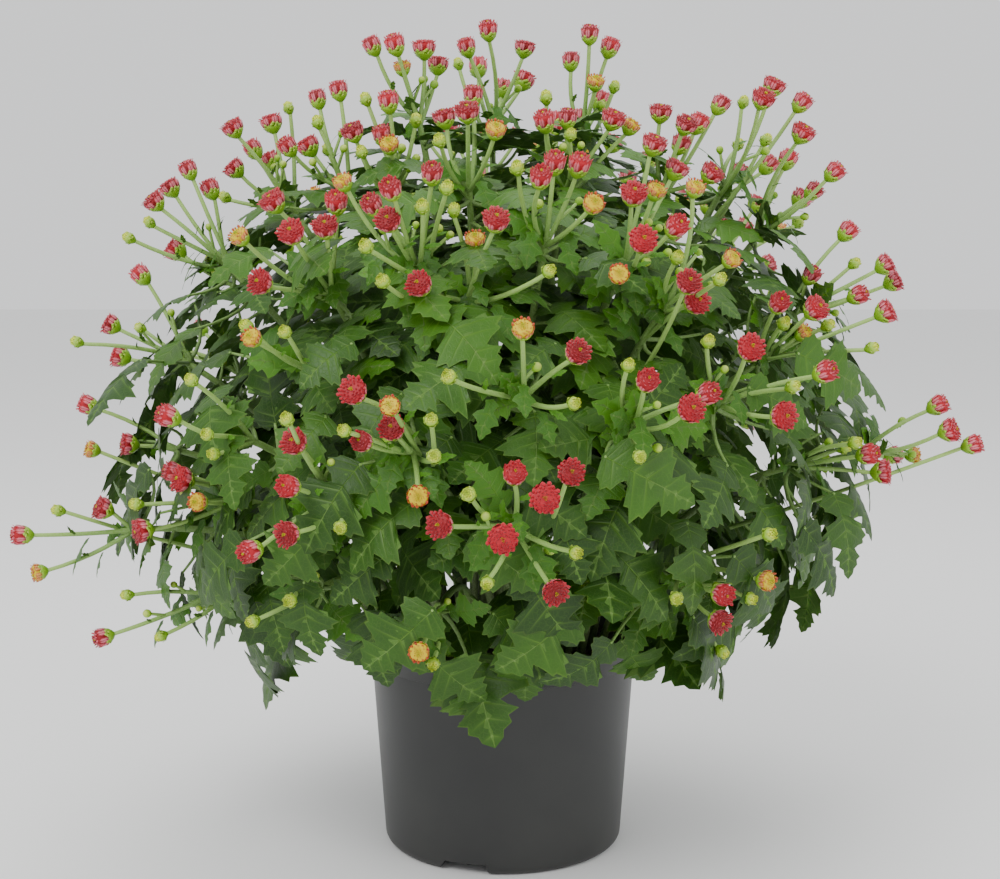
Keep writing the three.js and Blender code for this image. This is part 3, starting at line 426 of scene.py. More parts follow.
# %% What is taken: balls along everything that has grown
class Taken:
    """Balls in the crown, each with its radius, its spray and its part of the spray."""

    def __init__(self, room=60000):
        self.at = np.zeros((room, 3))
        self.radius = np.zeros(room)
        self.owner = np.zeros(room, int)
        self.part = np.zeros(room, int)
        self.count = 0

    def take(self, points, radius, owner, part):
        end = self.count + len(points)
        if len(points):
            self.at[self.count:end] = points
        self.radius[self.count:end] = radius
        self.owner[self.count:end] = owner
        self.part[self.count:end] = part
        self.count = end

    def clear(self, points, radius, owner, gap, own_gap, home=None, home_reach=0, part=-1):
        """True where balls of a radius at the points keep their gaps to all that is taken."""
        if not len(points):
            return True
        points = np.array(points)
        at = self.at[:self.count]
        room = 10 + radius + max(gap, own_gap)
        low = points.min(0) - room
        high = points.max(0) + room
        near = np.flatnonzero((at[:, 2] > low[2]) & (at[:, 2] < high[2])
                              & (at[:, 0] > low[0]) & (at[:, 0] < high[0])
                              & (at[:, 1] > low[1]) & (at[:, 1] < high[1]))
        own = self.owner[near] == owner
        skip = own & (self.part[near] == part)
        if home is not None:
            reach = np.where(self.part[near] == STEM_PART, home_reach, home_reach / 2)
            apart = at[near] - np.array(home)
            skip |= own & (np.sqrt((apart ** 2).sum(1)) < reach)
        near, own = near[~skip], own[~skip]
        reach = self.radius[near] + radius + np.where(own, own_gap, gap)
        apart = at[near][:, None, :] - points[None, :, :]
        return not ((apart ** 2).sum(2) < (reach ** 2)[:, None]).any()


taken = Taken()

# %% Curves
def bezier(p, t):
    s = 1 - t
    if len(p) == 3:
        return plus(plus(times(p[0], s * s), times(p[1], 2 * s * t)), times(p[2], t * t))
    return plus(
        plus(times(p[0], s * s * s), times(p[1], 3 * s * s * t)),
        plus(times(p[2], 3 * s * t * t), times(p[3], t * t * t)),
    )


def samples(curve, step):
    count = max(3, math.ceil(size(minus(curve[-1], curve[0])) / step))
    return [bezier(curve, i / count) for i in range(count + 1)]


def dots(line, start, short):
    """Points at even steps along a broken line, from a first distance to short of its end."""
    found = []
    walked = 0
    whole = sum(size(minus(line[i], line[i - 1])) for i in range(1, len(line)))
    for i in range(1, len(line)):
        stretch = size(minus(line[i], line[i - 1]))
        count = max(1, math.ceil(stretch / DOT_STEP))
        for k in range(1, count + 1):
            at = walked + stretch * k / count
            if start <= at <= whole - short:
                found.append(toward(line[i - 1], line[i], k / count))
        walked += stretch
    return found


def tangent(curve, t):
    return unit(minus(bezier(curve, t + 0.01), bezier(curve, t - 0.01)))


def stem_frame(curve, t):
    """A stem's place, way and three sides at a share of its length."""
    aside = (1, 0, 0)
    for i in range(FRAME_STEPS + 1):
        way = tangent(curve, (t * i) / FRAME_STEPS)
        aside = unit(minus(aside, times(way, dot(aside, way))))
    across = cross(way, aside)
    sides = []
    for k in range(STEM_SIDES):
        angle = (2 * math.pi * (k + 0.5)) / STEM_SIDES
        sides.append(plus(times(aside, math.cos(angle)), times(across, math.sin(angle))))
    return {"at": bezier(curve, t), "way": way, "sides": sides}

# %% Heads on the dome
def place_head(owner, kind, px, py, depth, turn, part):
    point, ray = dome_point(px, py, depth)
    radius = HEADS[kind]["radius"]
    for attempt in range(HEAD_TRIES):
        side = 1 if attempt % 2 else -1
        shift = ((chance(px, py, owner) - HEAD_DEPTH_BIAS) * HEAD_DEPTH_SPREAD
                 + side * math.ceil(attempt / 2) * HEAD_TRY_STEP)
        centre = plus(turned(plus(point, times(ray, shift)), turn),
            (0, BACK_SHIFT if turn else 0, 0))
        if not taken.clear([centre], radius, owner, HEAD_GAP, HEAD_GAP):
            continue
        lean = (chance(px, 1) - 0.5, chance(py, 2) - 0.5, HEAD_FACES_UP)
        taken.take([centre], radius, owner, part)
        facing = unit(plus(outward(centre), times(lean, 0.5)))
        return {"kind": kind, "centre": centre, "part": part, "facing": facing}
    return None


def place_sprays():
    wanted = [(name, text, 0) for name, text in FRONT_SPRAYS.items()]
    wanted += [("back_" + name, FRONT_SPRAYS[name], turn) for name, turn in BACK_SPRAYS.items()]
    found = []
    for owner, (name, text, turn) in enumerate(wanted):
        heads = []
        depth, *entries = text.split(" ")
        for entry in entries:
            kind = entry[0]
            if turn and kind not in BACK_KEPT:
                continue
            px, py = (int(v) for v in entry[1:].split(","))
            head = place_head(owner, kind, px, py, float(depth), turn, len(heads))
            if head:
                heads.append(head)
        total = (0, 0, 0)
        for head in heads:
            total = plus(total, head["centre"])
        found.append({
            "name": name, "owner": owner, "heads": heads, "middle": times(total, 1 / len(heads)),
            "whorls": {}, "leaves": [], "turn": turn,
        })
    return found

# %% [markdown]
# ### Stems
# A stem is a smooth curve from the soil to its spray. The lowest sprays choose first.

# %% Stems
roots = []


def clear_of_pot(at, gap):
    across = math.hypot(at[0], at[1])
    inside = at[2] > SOIL_TOP and across < LIP_RADIUS - LIP_CLEAR
    return inside or at[2] > POT_HEIGHT + gap or across > LIP_RADIUS + gap


def grow_stem(spray):
    owner, middle = spray["owner"], spray["middle"]
    facing = outward(middle)
    wide = math.hypot(middle[0], middle[1])
    for attempt in range(STEM_TRIES):
        spread = attempt / STEM_TRIES
        swing = (chance(owner, attempt, 1) - 0.5) * ROOT_SWING * spread
        outer = min(1, (wide / DOME_DEEP) ** 0.75 + 0.05)
        inward = between(ROOT_INWARD, spread) * chance(owner, attempt)
        reach = ROOT_REACH * outer * (1 - inward)
        azimuth = math.atan2(middle[1], middle[0]) + swing
        root = (math.cos(azimuth) * reach, math.sin(azimuth) * reach, SOIL_TOP - STEM_DEPTH)
        back = HUB_BELOW + HUB_MORE * spread * chance(owner, attempt, 2)
        hub = plus(middle, times(unit(plus(facing, times(UP, HUB_UP))), -back))
        upright = between(STEM_UPRIGHT, chance(owner, attempt, 3))
        rise = max(LEAST_RISE, (hub[2] - SOIL_TOP) * upright)
        flat = (hub[0] - root[0], hub[1] - root[1], 0)
        shoulder = plus(root, plus(times(flat, SHOULDER_OUT), (0, 0, STEM_DEPTH + rise)))
        chord = unit(minus(hub, shoulder))
        arrive = unit(plus(times(facing, HUB_TURN), chord))
        span = size(minus(hub, shoulder))
        curve = [root, shoulder, minus(hub, times(arrive, span * HUB_PULL)), hub]
        path = samples(curve, STEM_TEST_STEP)
        free = (taken.clear(path, STEM_ROOT_RADIUS, owner, STEM_GAP, STEM_GAP)
                and all(math.hypot(r[0] - root[0], r[1] - root[1]) > ROOT_SPACING for r in roots)
                and all(at[2] < SOIL_TOP or clear_of_pot(at, STEM_POT_GAP) for at in path))
        if not free and attempt < STEM_TRIES - 1:
            continue
        roots.append(root)
        taken.take(path, STEM_ROOT_RADIUS, owner, STEM_PART)
        return curve

# %% [markdown]
# ### Stalks
# Each head hangs on a thin stalk from the upper end of its stem.

# %% Stalks
def stalk_to(start, leave, head, bend):
    facing = unit(plus(head["facing"], times(unit(minus(head["centre"], start)), HEAD_FOLLOW)))
    base = minus(head["centre"], times(facing, HEADS[head["kind"]]["cup"]))
    reach = size(minus(base, start))
    out = plus(start, times(leave, reach * bend))
    back = minus(base, times(facing, reach * bend))
    curve = [start, toward(out, back, 0.5), base]
    line = [start, bezier(curve, 0.5), base] if reach > STRAIGHT_STALK else [start, base]
    return {"facing": facing, "line": line}


def bends_gently(stalk, off):
    line = stalk["line"]
    first = unit(minus(line[1], line[0]))
    last = unit(minus(line[-1], line[-2]))
    return dot(first, off) > LEAST_LIFT and dot(last, stalk["facing"]) > LEAST_IN_LINE


def end_stalk(spray):
    """The stalk that carries the stem on to one of its heads."""
    owner, stem = spray["owner"], spray["stem"]
    way = tangent(stem, 1)
    in_line = lambda head: dot(unit(minus(head["centre"], stem[3])), way)
    ways = [(head, stalk_to(stem[3], way, head, bend))
            for head in sorted(spray["heads"], key=lambda head: -in_line(head))
            for bend in END_BENDS]
    for head, stalk in ways:
        if bends_gently(stalk, way) and taken.clear(
                dots(stalk["line"], END_SKIP, END_SKIP), STALK_RADIUS, owner, STALK_GAP,
                STALK_OWN_GAP, stem[3], STALK_HOME, head["part"]):
            break
    else:
        head, stalk = ways[0]
    head.update(stalk)
    taken.take(dots(stalk["line"], 0, END_SKIP), STALK_RADIUS, owner, head["part"])
    return head


def grow_stalk(spray, head, long):
    owner, stem, whorls = spray["owner"], spray["stem"], spray["whorls"]
    frames = {}
    for attempt in range(STALK_TRIES):
        levels = STALK_LEVELS if attempt < STALK_TRIES / 2 else STALK_DEEP_LEVELS
        level = attempt % levels
        t = 1 - (WHORL_STEP * (level + 1)) / long
        if level not in frames:
            frames[level] = whorls.get(level) or {
                "t": t, "frame": stem_frame(stem, t), "branches": {}}
        whorl = frames[level]
        place = whorl["frame"]
        aim = unit(minus(head["centre"], place["at"]))
        order = sorted(((dot(side, aim), k) for k, side in enumerate(place["sides"])),
                       key=lambda pair: -pair[0])
        match, k = order[(attempt // levels) % STEM_SIDES]
        if k in whorl["branches"] or match < 0:
            continue
        side = place["sides"][k]
        start = plus(place["at"], times(side, STEM_END_RADIUS * 0.5))
        leave = unit(plus(times(side, STALK_SPLAY), place["way"]))
        bend = between(STALK_BENDS, chance(head["part"], attempt, 7))
        stalk = stalk_to(start, leave, head, bend)
        if not bends_gently(stalk, side):
            continue
        points = dots(stalk["line"], END_SKIP, END_SKIP)
        gap = STALK_GAP if attempt < STALK_CAREFUL else STALK_LEAST_GAP
        if not (all(clear_of_pot(at, STALK_POT_GAP) for at in points) and taken.clear(
                points, STALK_RADIUS, owner, gap, STALK_OWN_GAP, start, STALK_HOME,
                head["part"])):
            continue
        whorls[level] = whorl
        whorl["branches"][k] = head
        head.update(stalk)
        head["start"] = start
        taken.take(dots(stalk["line"], 0, END_SKIP), STALK_RADIUS, owner, head["part"])
        return


def grow_stalks(spray):
    stem = spray["stem"]
    long = size(minus(stem[3], stem[0]))
    spray["terminal"] = end_stalk(spray)
    for head in sorted(spray["heads"], key=lambda head: size(minus(head["centre"], stem[3]))):
        if head is not spray["terminal"]:
            grow_stalk(spray, head, long)

# %% [markdown]
# ### The large leaves
# They leave the stem in whorls and fold down and outward, where there is room.

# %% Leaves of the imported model
def half_width(along):
    line = ((0, 0.02),) + LEAF_OUTLINE + ((1, 0),)
    after = next(i for i, (u, _) in enumerate(line) if i > 0 and u >= along)
    (u0, v0), (u1, v1) = line[after - 1], line[after]
    return v0 + ((v1 - v0) * (along - u0)) / (u1 - u0)


def leaf_point(leaf, u, v):
    lift = leaf["length"] * (LEAF_RISE * u - LEAF_DROOP * u * u - LEAF_HANG * v * v)
    reach = leaf["petiole"] + leaf["length"] * u
    return plus(plus(leaf["start"], times(leaf["along"], reach)),
                plus(times(leaf["across"], leaf["length"] * v), times(leaf["up"], lift)))


def leaf_from(start, along, face, length, petiole):
    up = unit(minus(face, times(along, dot(face, along))))
    return {"start": start, "along": along, "up": up, "across": cross(along, up),
            "petiole": petiole, "length": length}


def grow_leaf(spray, whorl, blade):
    owner = spray["owner"]
    place = whorl["frame"]
    part = 100 + len(spray["leaves"])
    for attempt in range(LEAF_TRIES):
        k = math.floor(chance(owner, part, attempt) * STEM_SIDES)
        if k in whorl["branches"]:
            continue
        length = (blade * between(LEAF_SIZES, chance(part, attempt, 3))
                  * (1 - LEAF_SHRINK * attempt))
        side = place["sides"][k]
        start = plus(place["at"], times(side, STEM_END_RADIUS * 0.5))
        swing = LEAF_SWING * (chance(part, attempt, 4) - 0.5)
        radial = plus(side, times(cross(place["way"], side), swing))
        face = unit(plus(outward(start), times(UP, LEAF_FACES_UP)))
        sag = times(UP, -LEAF_SAG * chance(part, attempt, 6))
        along = unit(plus(plus(radial, times(place["way"], LEAF_FORWARD)), sag))
        if dot(along, side) < LEAST_LIFT:
            continue
        leaf = leaf_from(start, along, face, length, length * PETIOLE_SHARE)
        base = leaf_point(leaf, 0, 0)
        points = [toward(start, base, share) for share in (0.25, 0.5, 0.75)]
        for row in range(LEAF_TEST_ROWS + 1):
            u = row / LEAF_TEST_ROWS
            for column in range(-LEAF_TEST_COLUMNS, LEAF_TEST_COLUMNS + 1):
                points.append(leaf_point(leaf, u, half_width(u) * column / LEAF_TEST_COLUMNS))
        if not (all(clear_of_pot(p, LEAF_POT_GAP) and p[2] > LEAF_LOWEST for p in points)
                and taken.clear(points, LEAF_BALL, owner, LEAF_GAP, LEAF_OWN_GAP, start,
                                LEAF_HOME)):
            continue
        taken.take(points, LEAF_BALL, owner, part)
        whorl["branches"][k] = leaf
        spray["leaves"].append(leaf)
        return


def grow_leaves(spray):
    stem = spray["stem"]
    long = size(minus(stem[3], stem[0]))
    lowest = min([1] + [whorl["t"] for whorl in spray["whorls"].values()])
    leaf_to = lowest - LEAVES_BELOW_HUB / long
    levels = max(1, math.floor((long * (leaf_to - LEAF_FROM)) / LEAF_STEP + 0.5))
    for level in range(levels):
        share = (level + 0.5 * chance(spray["owner"], level, 5)) / max(1, levels - 0.5)
        t = LEAF_FROM + (leaf_to - LEAF_FROM) * min(share, 1)
        whorl = {"t": t, "frame": stem_frame(stem, t), "branches": {}}
        blade = LEAF_LONG + (LEAF_SHORT - LEAF_LONG) * share ** 1.4
        for _ in range(LEAVES_A_WHORL):
            grow_leaf(spray, whorl, blade)

# %% [markdown]
# ### Grow the plant
# First all stems, then all stalks, then all leaves, so that each finds the others in place.

# %% Grow the plant
sprays = place_sprays()
for spray in sorted(sprays, key=lambda spray: spray["middle"][2]):
    spray["stem"] = grow_stem(spray)
for spray in sprays:
    grow_stalks(spray)
for spray in sprays:
    grow_leaves(spray)
print("heads", sum(len(s["heads"]) for s in sprays), "on stalks",
      sum("line" in h for s in sprays for h in s["heads"]),
      "leaves", sum(len(s["leaves"]) for s in sprays))

# %% [markdown]
# ## Materials
# Leaves, stalks and petals are living tissue: water filled cells under a thin wax film, so they
# have a soft sheen at an index of about 1.45 and let a little light through. The pot is moulded
# polypropylene, and the soil is peat. Colour varies from leaf to leaf through an attribute that
# each leaf and head carries, and over a leaf through its own UV map.

# %% The outline of a leaf
# Right half of a blade, as shares of its length: along the rib, out from it, and 1 where a lobe
# or tooth ends. Five lobes with blunt teeth, and round bays between the lobes.
BLADE_EDGE = (
    (0.015, 0.035, 0), (0.03, 0.11, 0), (0.055, 0.20, 1), (0.095, 0.215, 0), (0.14, 0.285, 1),
    (0.185, 0.235, 0), (0.225, 0.245, 1), (0.265, 0.15, 0), (0.315, 0.10, 0), (0.36, 0.17, 0),
    (0.405, 0.315, 1), (0.455, 0.305, 0), (0.53, 0.425, 1), (0.575, 0.325, 0), (0.62, 0.33, 1),
    (0.645, 0.20, 0), (0.675, 0.125, 0), (0.72, 0.165, 0), (0.765, 0.235, 1), (0.80, 0.155, 0),
    (0.855, 0.165, 1), (0.895, 0.095, 0), (0.945, 0.08, 1),
)
VEIN_SLANT = 0.46
LEAST_ROW = 0.012


def rows_of(edge):
    """Where the row of each point of the edge starts on the midrib."""
    found = []
    for u, v, _ in edge:
        low = found[-1] + LEAST_ROW if found else 0.004
        found.append(max(low, u - VEIN_SLANT * v))
    return found


print("side veins in half a blade", sum(tip for _, _, tip in BLADE_EDGE))

# %% [markdown]
# ### Leaf blade
# The rib, side veins and net are drawn from the UV map, sunk a little, and the underside is pale.

# %% Material: the upper and lower face of a leaf
# Leaf blade, grown: satin wax over dark green, paler veins sunk into it, a paler dull underside,
# painted sheen at the rim.
def new_material(name):
    material = bpy.data.materials.new(name)
    material.use_nodes = True
    return material, material.node_tree, material.node_tree.nodes["Principled BSDF"]


def leaf_material():
    material, tree, skin = new_material("leaf_blade_satin_wax")
    place = add(tree, "ShaderNodeSeparateXYZ", {"Vector": add(tree, "ShaderNodeUVMap",
                                                              uv_map="blade").outputs["UV"]})
    along, across = place.outputs["X"], place.outputs["Y"]
    side = add(tree, "ShaderNodeMath", (add(tree, "ShaderNodeMath", (across, 2, -1),
        operation="MULTIPLY_ADD"),), operation="ABSOLUTE")
    tone = add(tree, "ShaderNodeAttribute", attribute_name="tone").outputs["Fac"]
    young = add(tree, "ShaderNodeAttribute", attribute_name="young").outputs["Fac"]
    under = add(tree, "ShaderNodeAttribute", attribute_name="under").outputs["Fac"]
    coords = add(tree, "ShaderNodeTexCoord").outputs["Object"]
    # the midrib, widest at the base of the blade
    width = add(tree, "ShaderNodeMath", (along, -0.028, 0.042), operation="MULTIPLY_ADD")
    rib = add(tree, "ShaderNodeMath", (1, add(tree, "ShaderNodeMath", (side, width),
        operation="DIVIDE")), operation="SUBTRACT", use_clamp=True)
    # the side veins: the blade carries 1 on each row that ends in a lobe or a tooth
    veins = add(tree, "ShaderNodeMath", (add(tree, "ShaderNodeAttribute",
        attribute_name="vein").outputs["Fac"], 6), operation="POWER")
    fade = add(tree, "ShaderNodeMath", (1.05, side), operation="SUBTRACT", use_clamp=True)
    veins = add(tree, "ShaderNodeMath", (veins, fade), operation="MULTIPLY")
    net = add(tree, "ShaderNodeTexVoronoi", {"Vector": coords}, feature="DISTANCE_TO_EDGE",
              Scale=1 / (2.6 * MM))
    mesh_veins = add(tree, "ShaderNodeMath", (1, add(tree, "ShaderNodeMath",
        (net.outputs["Distance"], 0.09), operation="DIVIDE")), operation="SUBTRACT",
        use_clamp=True)
    all_veins = add(tree, "ShaderNodeMath", (add(tree, "ShaderNodeMath", (rib, veins),
        operation="MAXIMUM"), add(tree, "ShaderNodeMath", (mesh_veins, 0.2),
        operation="MULTIPLY")), operation="MAXIMUM")
    cloud = add(tree, "ShaderNodeTexNoise", {"Vector": coords}, Scale=1 / (14 * MM), Detail=3)
    old = add(tree, "ShaderNodeValToRGB", {"Fac": add(tree, "ShaderNodeMath",
        (cloud.outputs["Fac"], 0.5, add(tree, "ShaderNodeMath", (tone, 0.5),
        operation="MULTIPLY")), operation="MULTIPLY_ADD")}, ((0.15, "112705"), (0.5, "1d3b07"),
        (0.85, "31560c")))
    fresh = add(tree, "ShaderNodeValToRGB", {"Fac": tone}, ((0.0, "3f7a0a"), (1.0, "5c9a12")))
    face = add(tree, "ShaderNodeMix", {0: young, 6: old, 7: fresh}, data_type="RGBA").outputs[2]
    face = add(tree, "ShaderNodeMix", {0: add(tree, "ShaderNodeMath", (all_veins, 0.42),
        operation="MULTIPLY"), 6: face, 7: "6c9430"}, data_type="RGBA").outputs[2]
    # painted sheen: a narrow paler grey-green band along the blade's edge stands in for light
    # catching the rim
    edge = add(tree, "ShaderNodeMath", (side, 12, -11.2), operation="MULTIPLY_ADD", use_clamp=True)
    face = add(tree, "ShaderNodeMix", {0: add(tree, "ShaderNodeMath", (edge, 0.2),
        operation="MULTIPLY"), 6: face, 7: "7f9f3c"}, data_type="RGBA").outputs[2]
    back = add(tree, "ShaderNodeMix", {0: add(tree, "ShaderNodeMath", (all_veins, 0.5),
        operation="MULTIPLY"), 6: "476a26", 7: "82a058"}, data_type="RGBA").outputs[2]
    add(tree, skin, {"Base Color": add(tree, "ShaderNodeMix", {0: under, 6: face, 7: back},
        data_type="RGBA").outputs[2]})
    wax = add(tree, "ShaderNodeMath", (cloud.outputs["Fac"], 0.16, 0.36), operation="MULTIPLY_ADD")
    add(tree, skin, {"Roughness": add(tree, "ShaderNodeMath", (under, 0.25, wax),
        operation="MULTIPLY_ADD")})
    # veins are sunk, and the blade swells between them
    swell = add(tree, "ShaderNodeMath", (cloud.outputs["Fac"], 0.5,
        add(tree, "ShaderNodeMath", (all_veins, -1), operation="MULTIPLY")),
        operation="MULTIPLY_ADD")
    bump = add(tree, "ShaderNodeBump", {"Height": swell}, Strength=0.6, Distance=0.5 * MM)
    add(tree, skin, {"Normal": bump.outputs["Normal"]}, IOR=1.45, Specular_IOR_Level=0.36,
        Subsurface_Weight=0.06, Subsurface_Radius=(0.4 * MM, 0.8 * MM, 0.2 * MM),
        Subsurface_Scale=1)
    return material


leaf_skin = leaf_material()
print("made", leaf_skin.name)

# %% [markdown]
# ### Stem
# Fine hairs are a noise of about a millimetre over a green that ages toward the soil.

# %% Material: stems and stalks
# Young chrysanthemum stem, grown: pale green with fine downy hair and a satin skin, greener and
# a little brown where it is older, near the soil.
def stem_material():
    material, tree, skin = new_material("stem_downy_green")
    coords = add(tree, "ShaderNodeTexCoord").outputs["Object"]
    down = add(tree, "ShaderNodeTexNoise", {"Vector": coords}, Scale=1 / (1.1 * MM), Detail=2)
    young = add(tree, "ShaderNodeAttribute", attribute_name="young").outputs["Fac"]
    base = add(tree, "ShaderNodeValToRGB", {"Fac": young}, ((0.0, "4a571c"), (0.3, "4a7018"),
        (0.7, "6c9830"), (1.0, "92b850")))
    hairs = add(tree, "ShaderNodeMath", (down.outputs["Fac"], 0.5, -0.08),
        operation="MULTIPLY_ADD", use_clamp=True)
    add(tree, skin, {"Base Color": add(tree, "ShaderNodeMix", {0: hairs, 6: base, 7: "b9cba0"},
        data_type="RGBA").outputs[2]})
    bump = add(tree, "ShaderNodeBump", {"Height": down.outputs["Fac"]}, Strength=0.4,
               Distance=0.25 * MM)
    add(tree, skin, {"Normal": bump.outputs["Normal"]}, Roughness=0.52, IOR=1.45)
    return material


stem_skin = stem_material()
print("made", stem_skin.name)

# %% [markdown]
# ### Petals
# The ring attribute darkens the heart of a head, and the gold attribute tints the young ones.

# %% Material: ray petals
# Chrysanthemum ray, grown: velvety crimson face with a darker heart, a pale pink back, and a
# paler edge and tip. The velvet is a sheen of fine cells.
def petal_material():
    material, tree, skin = new_material("petal_crimson_velvet")
    place = add(tree, "ShaderNodeSeparateXYZ", {"Vector": add(tree, "ShaderNodeUVMap",
                                                              uv_map="blade").outputs["UV"]})
    along, across = place.outputs["X"], place.outputs["Y"]
    side = add(tree, "ShaderNodeMath", (add(tree, "ShaderNodeMath", (across, 2, -1),
        operation="MULTIPLY_ADD"),), operation="ABSOLUTE")
    ring = add(tree, "ShaderNodeAttribute", attribute_name="ring").outputs["Fac"]
    tone = add(tree, "ShaderNodeAttribute", attribute_name="tone").outputs["Fac"]
    under = add(tree, "ShaderNodeAttribute", attribute_name="under").outputs["Fac"]
    gold = add(tree, "ShaderNodeAttribute", attribute_name="gold").outputs["Fac"]
    heart = add(tree, "ShaderNodeValToRGB", {"Fac": ring}, ((0.0, "7c0008"), (0.45, "9a0010"),
        (0.8, "b4041a"), (1.0, "c40e28")))
    bright = add(tree, "ShaderNodeMix", {0: add(tree, "ShaderNodeMath", (tone, 0.4),
        operation="MULTIPLY"), 6: heart, 7: "e01830"}, data_type="RGBA").outputs[2]
    orange = add(tree, "ShaderNodeValToRGB", {"Fac": ring}, ((0.0, "d0b400"), (0.4, "d07000"),
        (1.0, "c43018")))
    face = add(tree, "ShaderNodeMix", {0: gold, 6: bright, 7: orange}, data_type="RGBA").outputs[2]
    edge = add(tree, "ShaderNodeMath", (side, 3.2, -2.2), operation="MULTIPLY_ADD", use_clamp=True)
    tip = add(tree, "ShaderNodeMath", (along, 3.0, -2.2), operation="MULTIPLY_ADD", use_clamp=True)
    pale = add(tree, "ShaderNodeMath", (add(tree, "ShaderNodeMath", (edge, tip),
        operation="MAXIMUM"), add(tree, "ShaderNodeMath", (ring, 0.34, 0.04),
        operation="MULTIPLY_ADD")), operation="MULTIPLY")
    face = add(tree, "ShaderNodeMix", {0: pale, 6: face, 7: "f07a88"}, data_type="RGBA").outputs[2]
    back = add(tree, "ShaderNodeMix", {0: edge, 6: "e08090", 7: "b0041e"},
        data_type="RGBA").outputs[2]
    back = add(tree, "ShaderNodeMix", {0: add(tree, "ShaderNodeMath", (gold, 0.7),
        operation="MULTIPLY"), 6: back, 7: "d0b040"}, data_type="RGBA").outputs[2]
    add(tree, skin, {"Base Color": add(tree, "ShaderNodeMix", {0: under, 6: face, 7: back},
        data_type="RGBA").outputs[2]}, Roughness=0.55, IOR=1.42, Sheen_Weight=0.1,
        Sheen_Roughness=0.4, Subsurface_Weight=0.08, Subsurface_Radius=(1.2 * MM, 0.4 * MM,
        0.3 * MM), Subsurface_Scale=1)
    return material


petal_skin = petal_material()
print("made", petal_skin.name)

# %% [markdown]
# ### Calyx, eye and buds
# Three small materials: waxy green, packed florets, and the lime petals of a bud.

# %% Material: calyx, bracts and the eye of the heads
# Calyx and bract, grown: waxy lime green with pale papery edges. The eye is packed disc florets,
# lime in the middle and yellow at the rim, each a matt little tube.
def calyx_material():
    material, tree, skin = new_material("calyx_waxy_lime")
    place = add(tree, "ShaderNodeSeparateXYZ", {"Vector": add(tree, "ShaderNodeUVMap",
                                                              uv_map="blade").outputs["UV"]})
    side = add(tree, "ShaderNodeMath", (add(tree, "ShaderNodeMath", (place.outputs["Y"], 2, -1),
        operation="MULTIPLY_ADD"),), operation="ABSOLUTE")
    base = add(tree, "ShaderNodeValToRGB", {"Fac": place.outputs["X"]},
        ((0.0, "5c9014"), (0.6, "84b020"), (1.0, "c0d060")))
    edge = add(tree, "ShaderNodeMath", (side, 2.6, -1.7), operation="MULTIPLY_ADD", use_clamp=True)
    add(tree, skin, {"Base Color": add(tree, "ShaderNodeMix", {0: edge, 6: base, 7: "ccd870"},
        data_type="RGBA").outputs[2]}, Roughness=0.45, IOR=1.45)
    return material


def eye_material():
    material, tree, skin = new_material("eye_disc_florets")
    ring = add(tree, "ShaderNodeAttribute", attribute_name="ring").outputs["Fac"]
    base = add(tree, "ShaderNodeValToRGB", {"Fac": ring}, ((0.0, "80a800"), (0.4, "b8c800"),
        (0.75, "dcc400"), (1.0, "e0b818")))
    add(tree, skin, {"Base Color": base}, Roughness=0.6, IOR=1.45)
    return material


def bud_material():
    material, tree, skin = new_material("bud_petals_lime")
    ring = add(tree, "ShaderNodeAttribute", attribute_name="ring").outputs["Fac"]
    base = add(tree, "ShaderNodeValToRGB", {"Fac": ring}, ((0.0, "90b800"), (0.4, "bcd400"),
        (0.7, "dce450"), (1.0, "c4d828")))
    add(tree, skin, {"Base Color": base}, Roughness=0.5, IOR=1.45)
    return material


calyx_skin = calyx_material()
eye_skin = eye_material()
bud_skin = bud_material()
print("materials", [m.name for m in bpy.data.materials])

# %% [markdown]
# ## A ring of petals as a Geometry Nodes tree
# Petals, bracts and the florets of the eye all stand in the same spiral: each one is turned by
# the golden angle from the one before, and stands a little further out. One tree with named
# inputs makes all three. It takes a single petal and places it along the spiral, with its height,
# lean and length blended from the middle of the head to its rim.

# %% One function to make meshes from points
def mesh_object(name, points, faces, material=None, uvs=None, under=None):
    """A mesh object. uvs and under give a value for each point."""
    mesh = bpy.data.meshes.new(name)
    mesh.from_pydata([tuple(p) for p in points], [], faces)
    if uvs is not None:
        layer = mesh.uv_layers.new(name="blade")
        for loop in mesh.loops:
            layer.data[loop.index].uv = uvs[loop.vertex_index]
    if under is not None:
        mesh.attributes.new("under", "FLOAT", "POINT").data.foreach_set("value", under)
    if material:
        mesh.materials.append(material)
    mesh.shade_smooth()
    made = bpy.data.objects.new(name, mesh)
    bpy.context.collection.objects.link(made)
    return made


def plain(made, name):
    """The evaluated object as a plain mesh object, and the object with its tree removed."""
    graph = bpy.context.evaluated_depsgraph_get()
    mesh = bpy.data.meshes.new_from_object(made.evaluated_get(graph))
    mesh.name = name
    bpy.data.objects.remove(made)
    result = bpy.data.objects.new(name, mesh)
    bpy.context.collection.objects.link(result)
    return result


def new_tree(name, *inputs):
    """A Geometry Nodes tree and the sockets it is given: pairs of a kind and the inputs' names."""
    tree = bpy.data.node_groups.new(name, "GeometryNodeTree")
    tree.interface.new_socket("Geometry", in_out="OUTPUT", socket_type="NodeSocketGeometry")
    for kind, labels in inputs:
        for label in labels:
            tree.interface.new_socket(label, in_out="INPUT", socket_type="NodeSocket" + kind)
    return tree, add(tree, "NodeGroupInput").outputs


def run_tree(holder, tree, name, **given):
    """Runs a tree on an object, with its inputs by name, and returns the plain result."""
    modifier = holder.modifiers.new(tree.name, "NODES")
    modifier.node_group = tree
    sockets = {item.name: item.identifier for item in tree.interface.items_tree
               if item.in_out == "INPUT"}
    for key, value in given.items():
        modifier[sockets[key.replace("_", " ")]] = value
    return plain(holder, name)

# %% The petal: a short boat with a flat face and a keel below
PETAL_STATIONS = ((0.0, 0.30, 0.10), (0.35, 0.78, 0.16), (0.72, 1.0, 0.12))


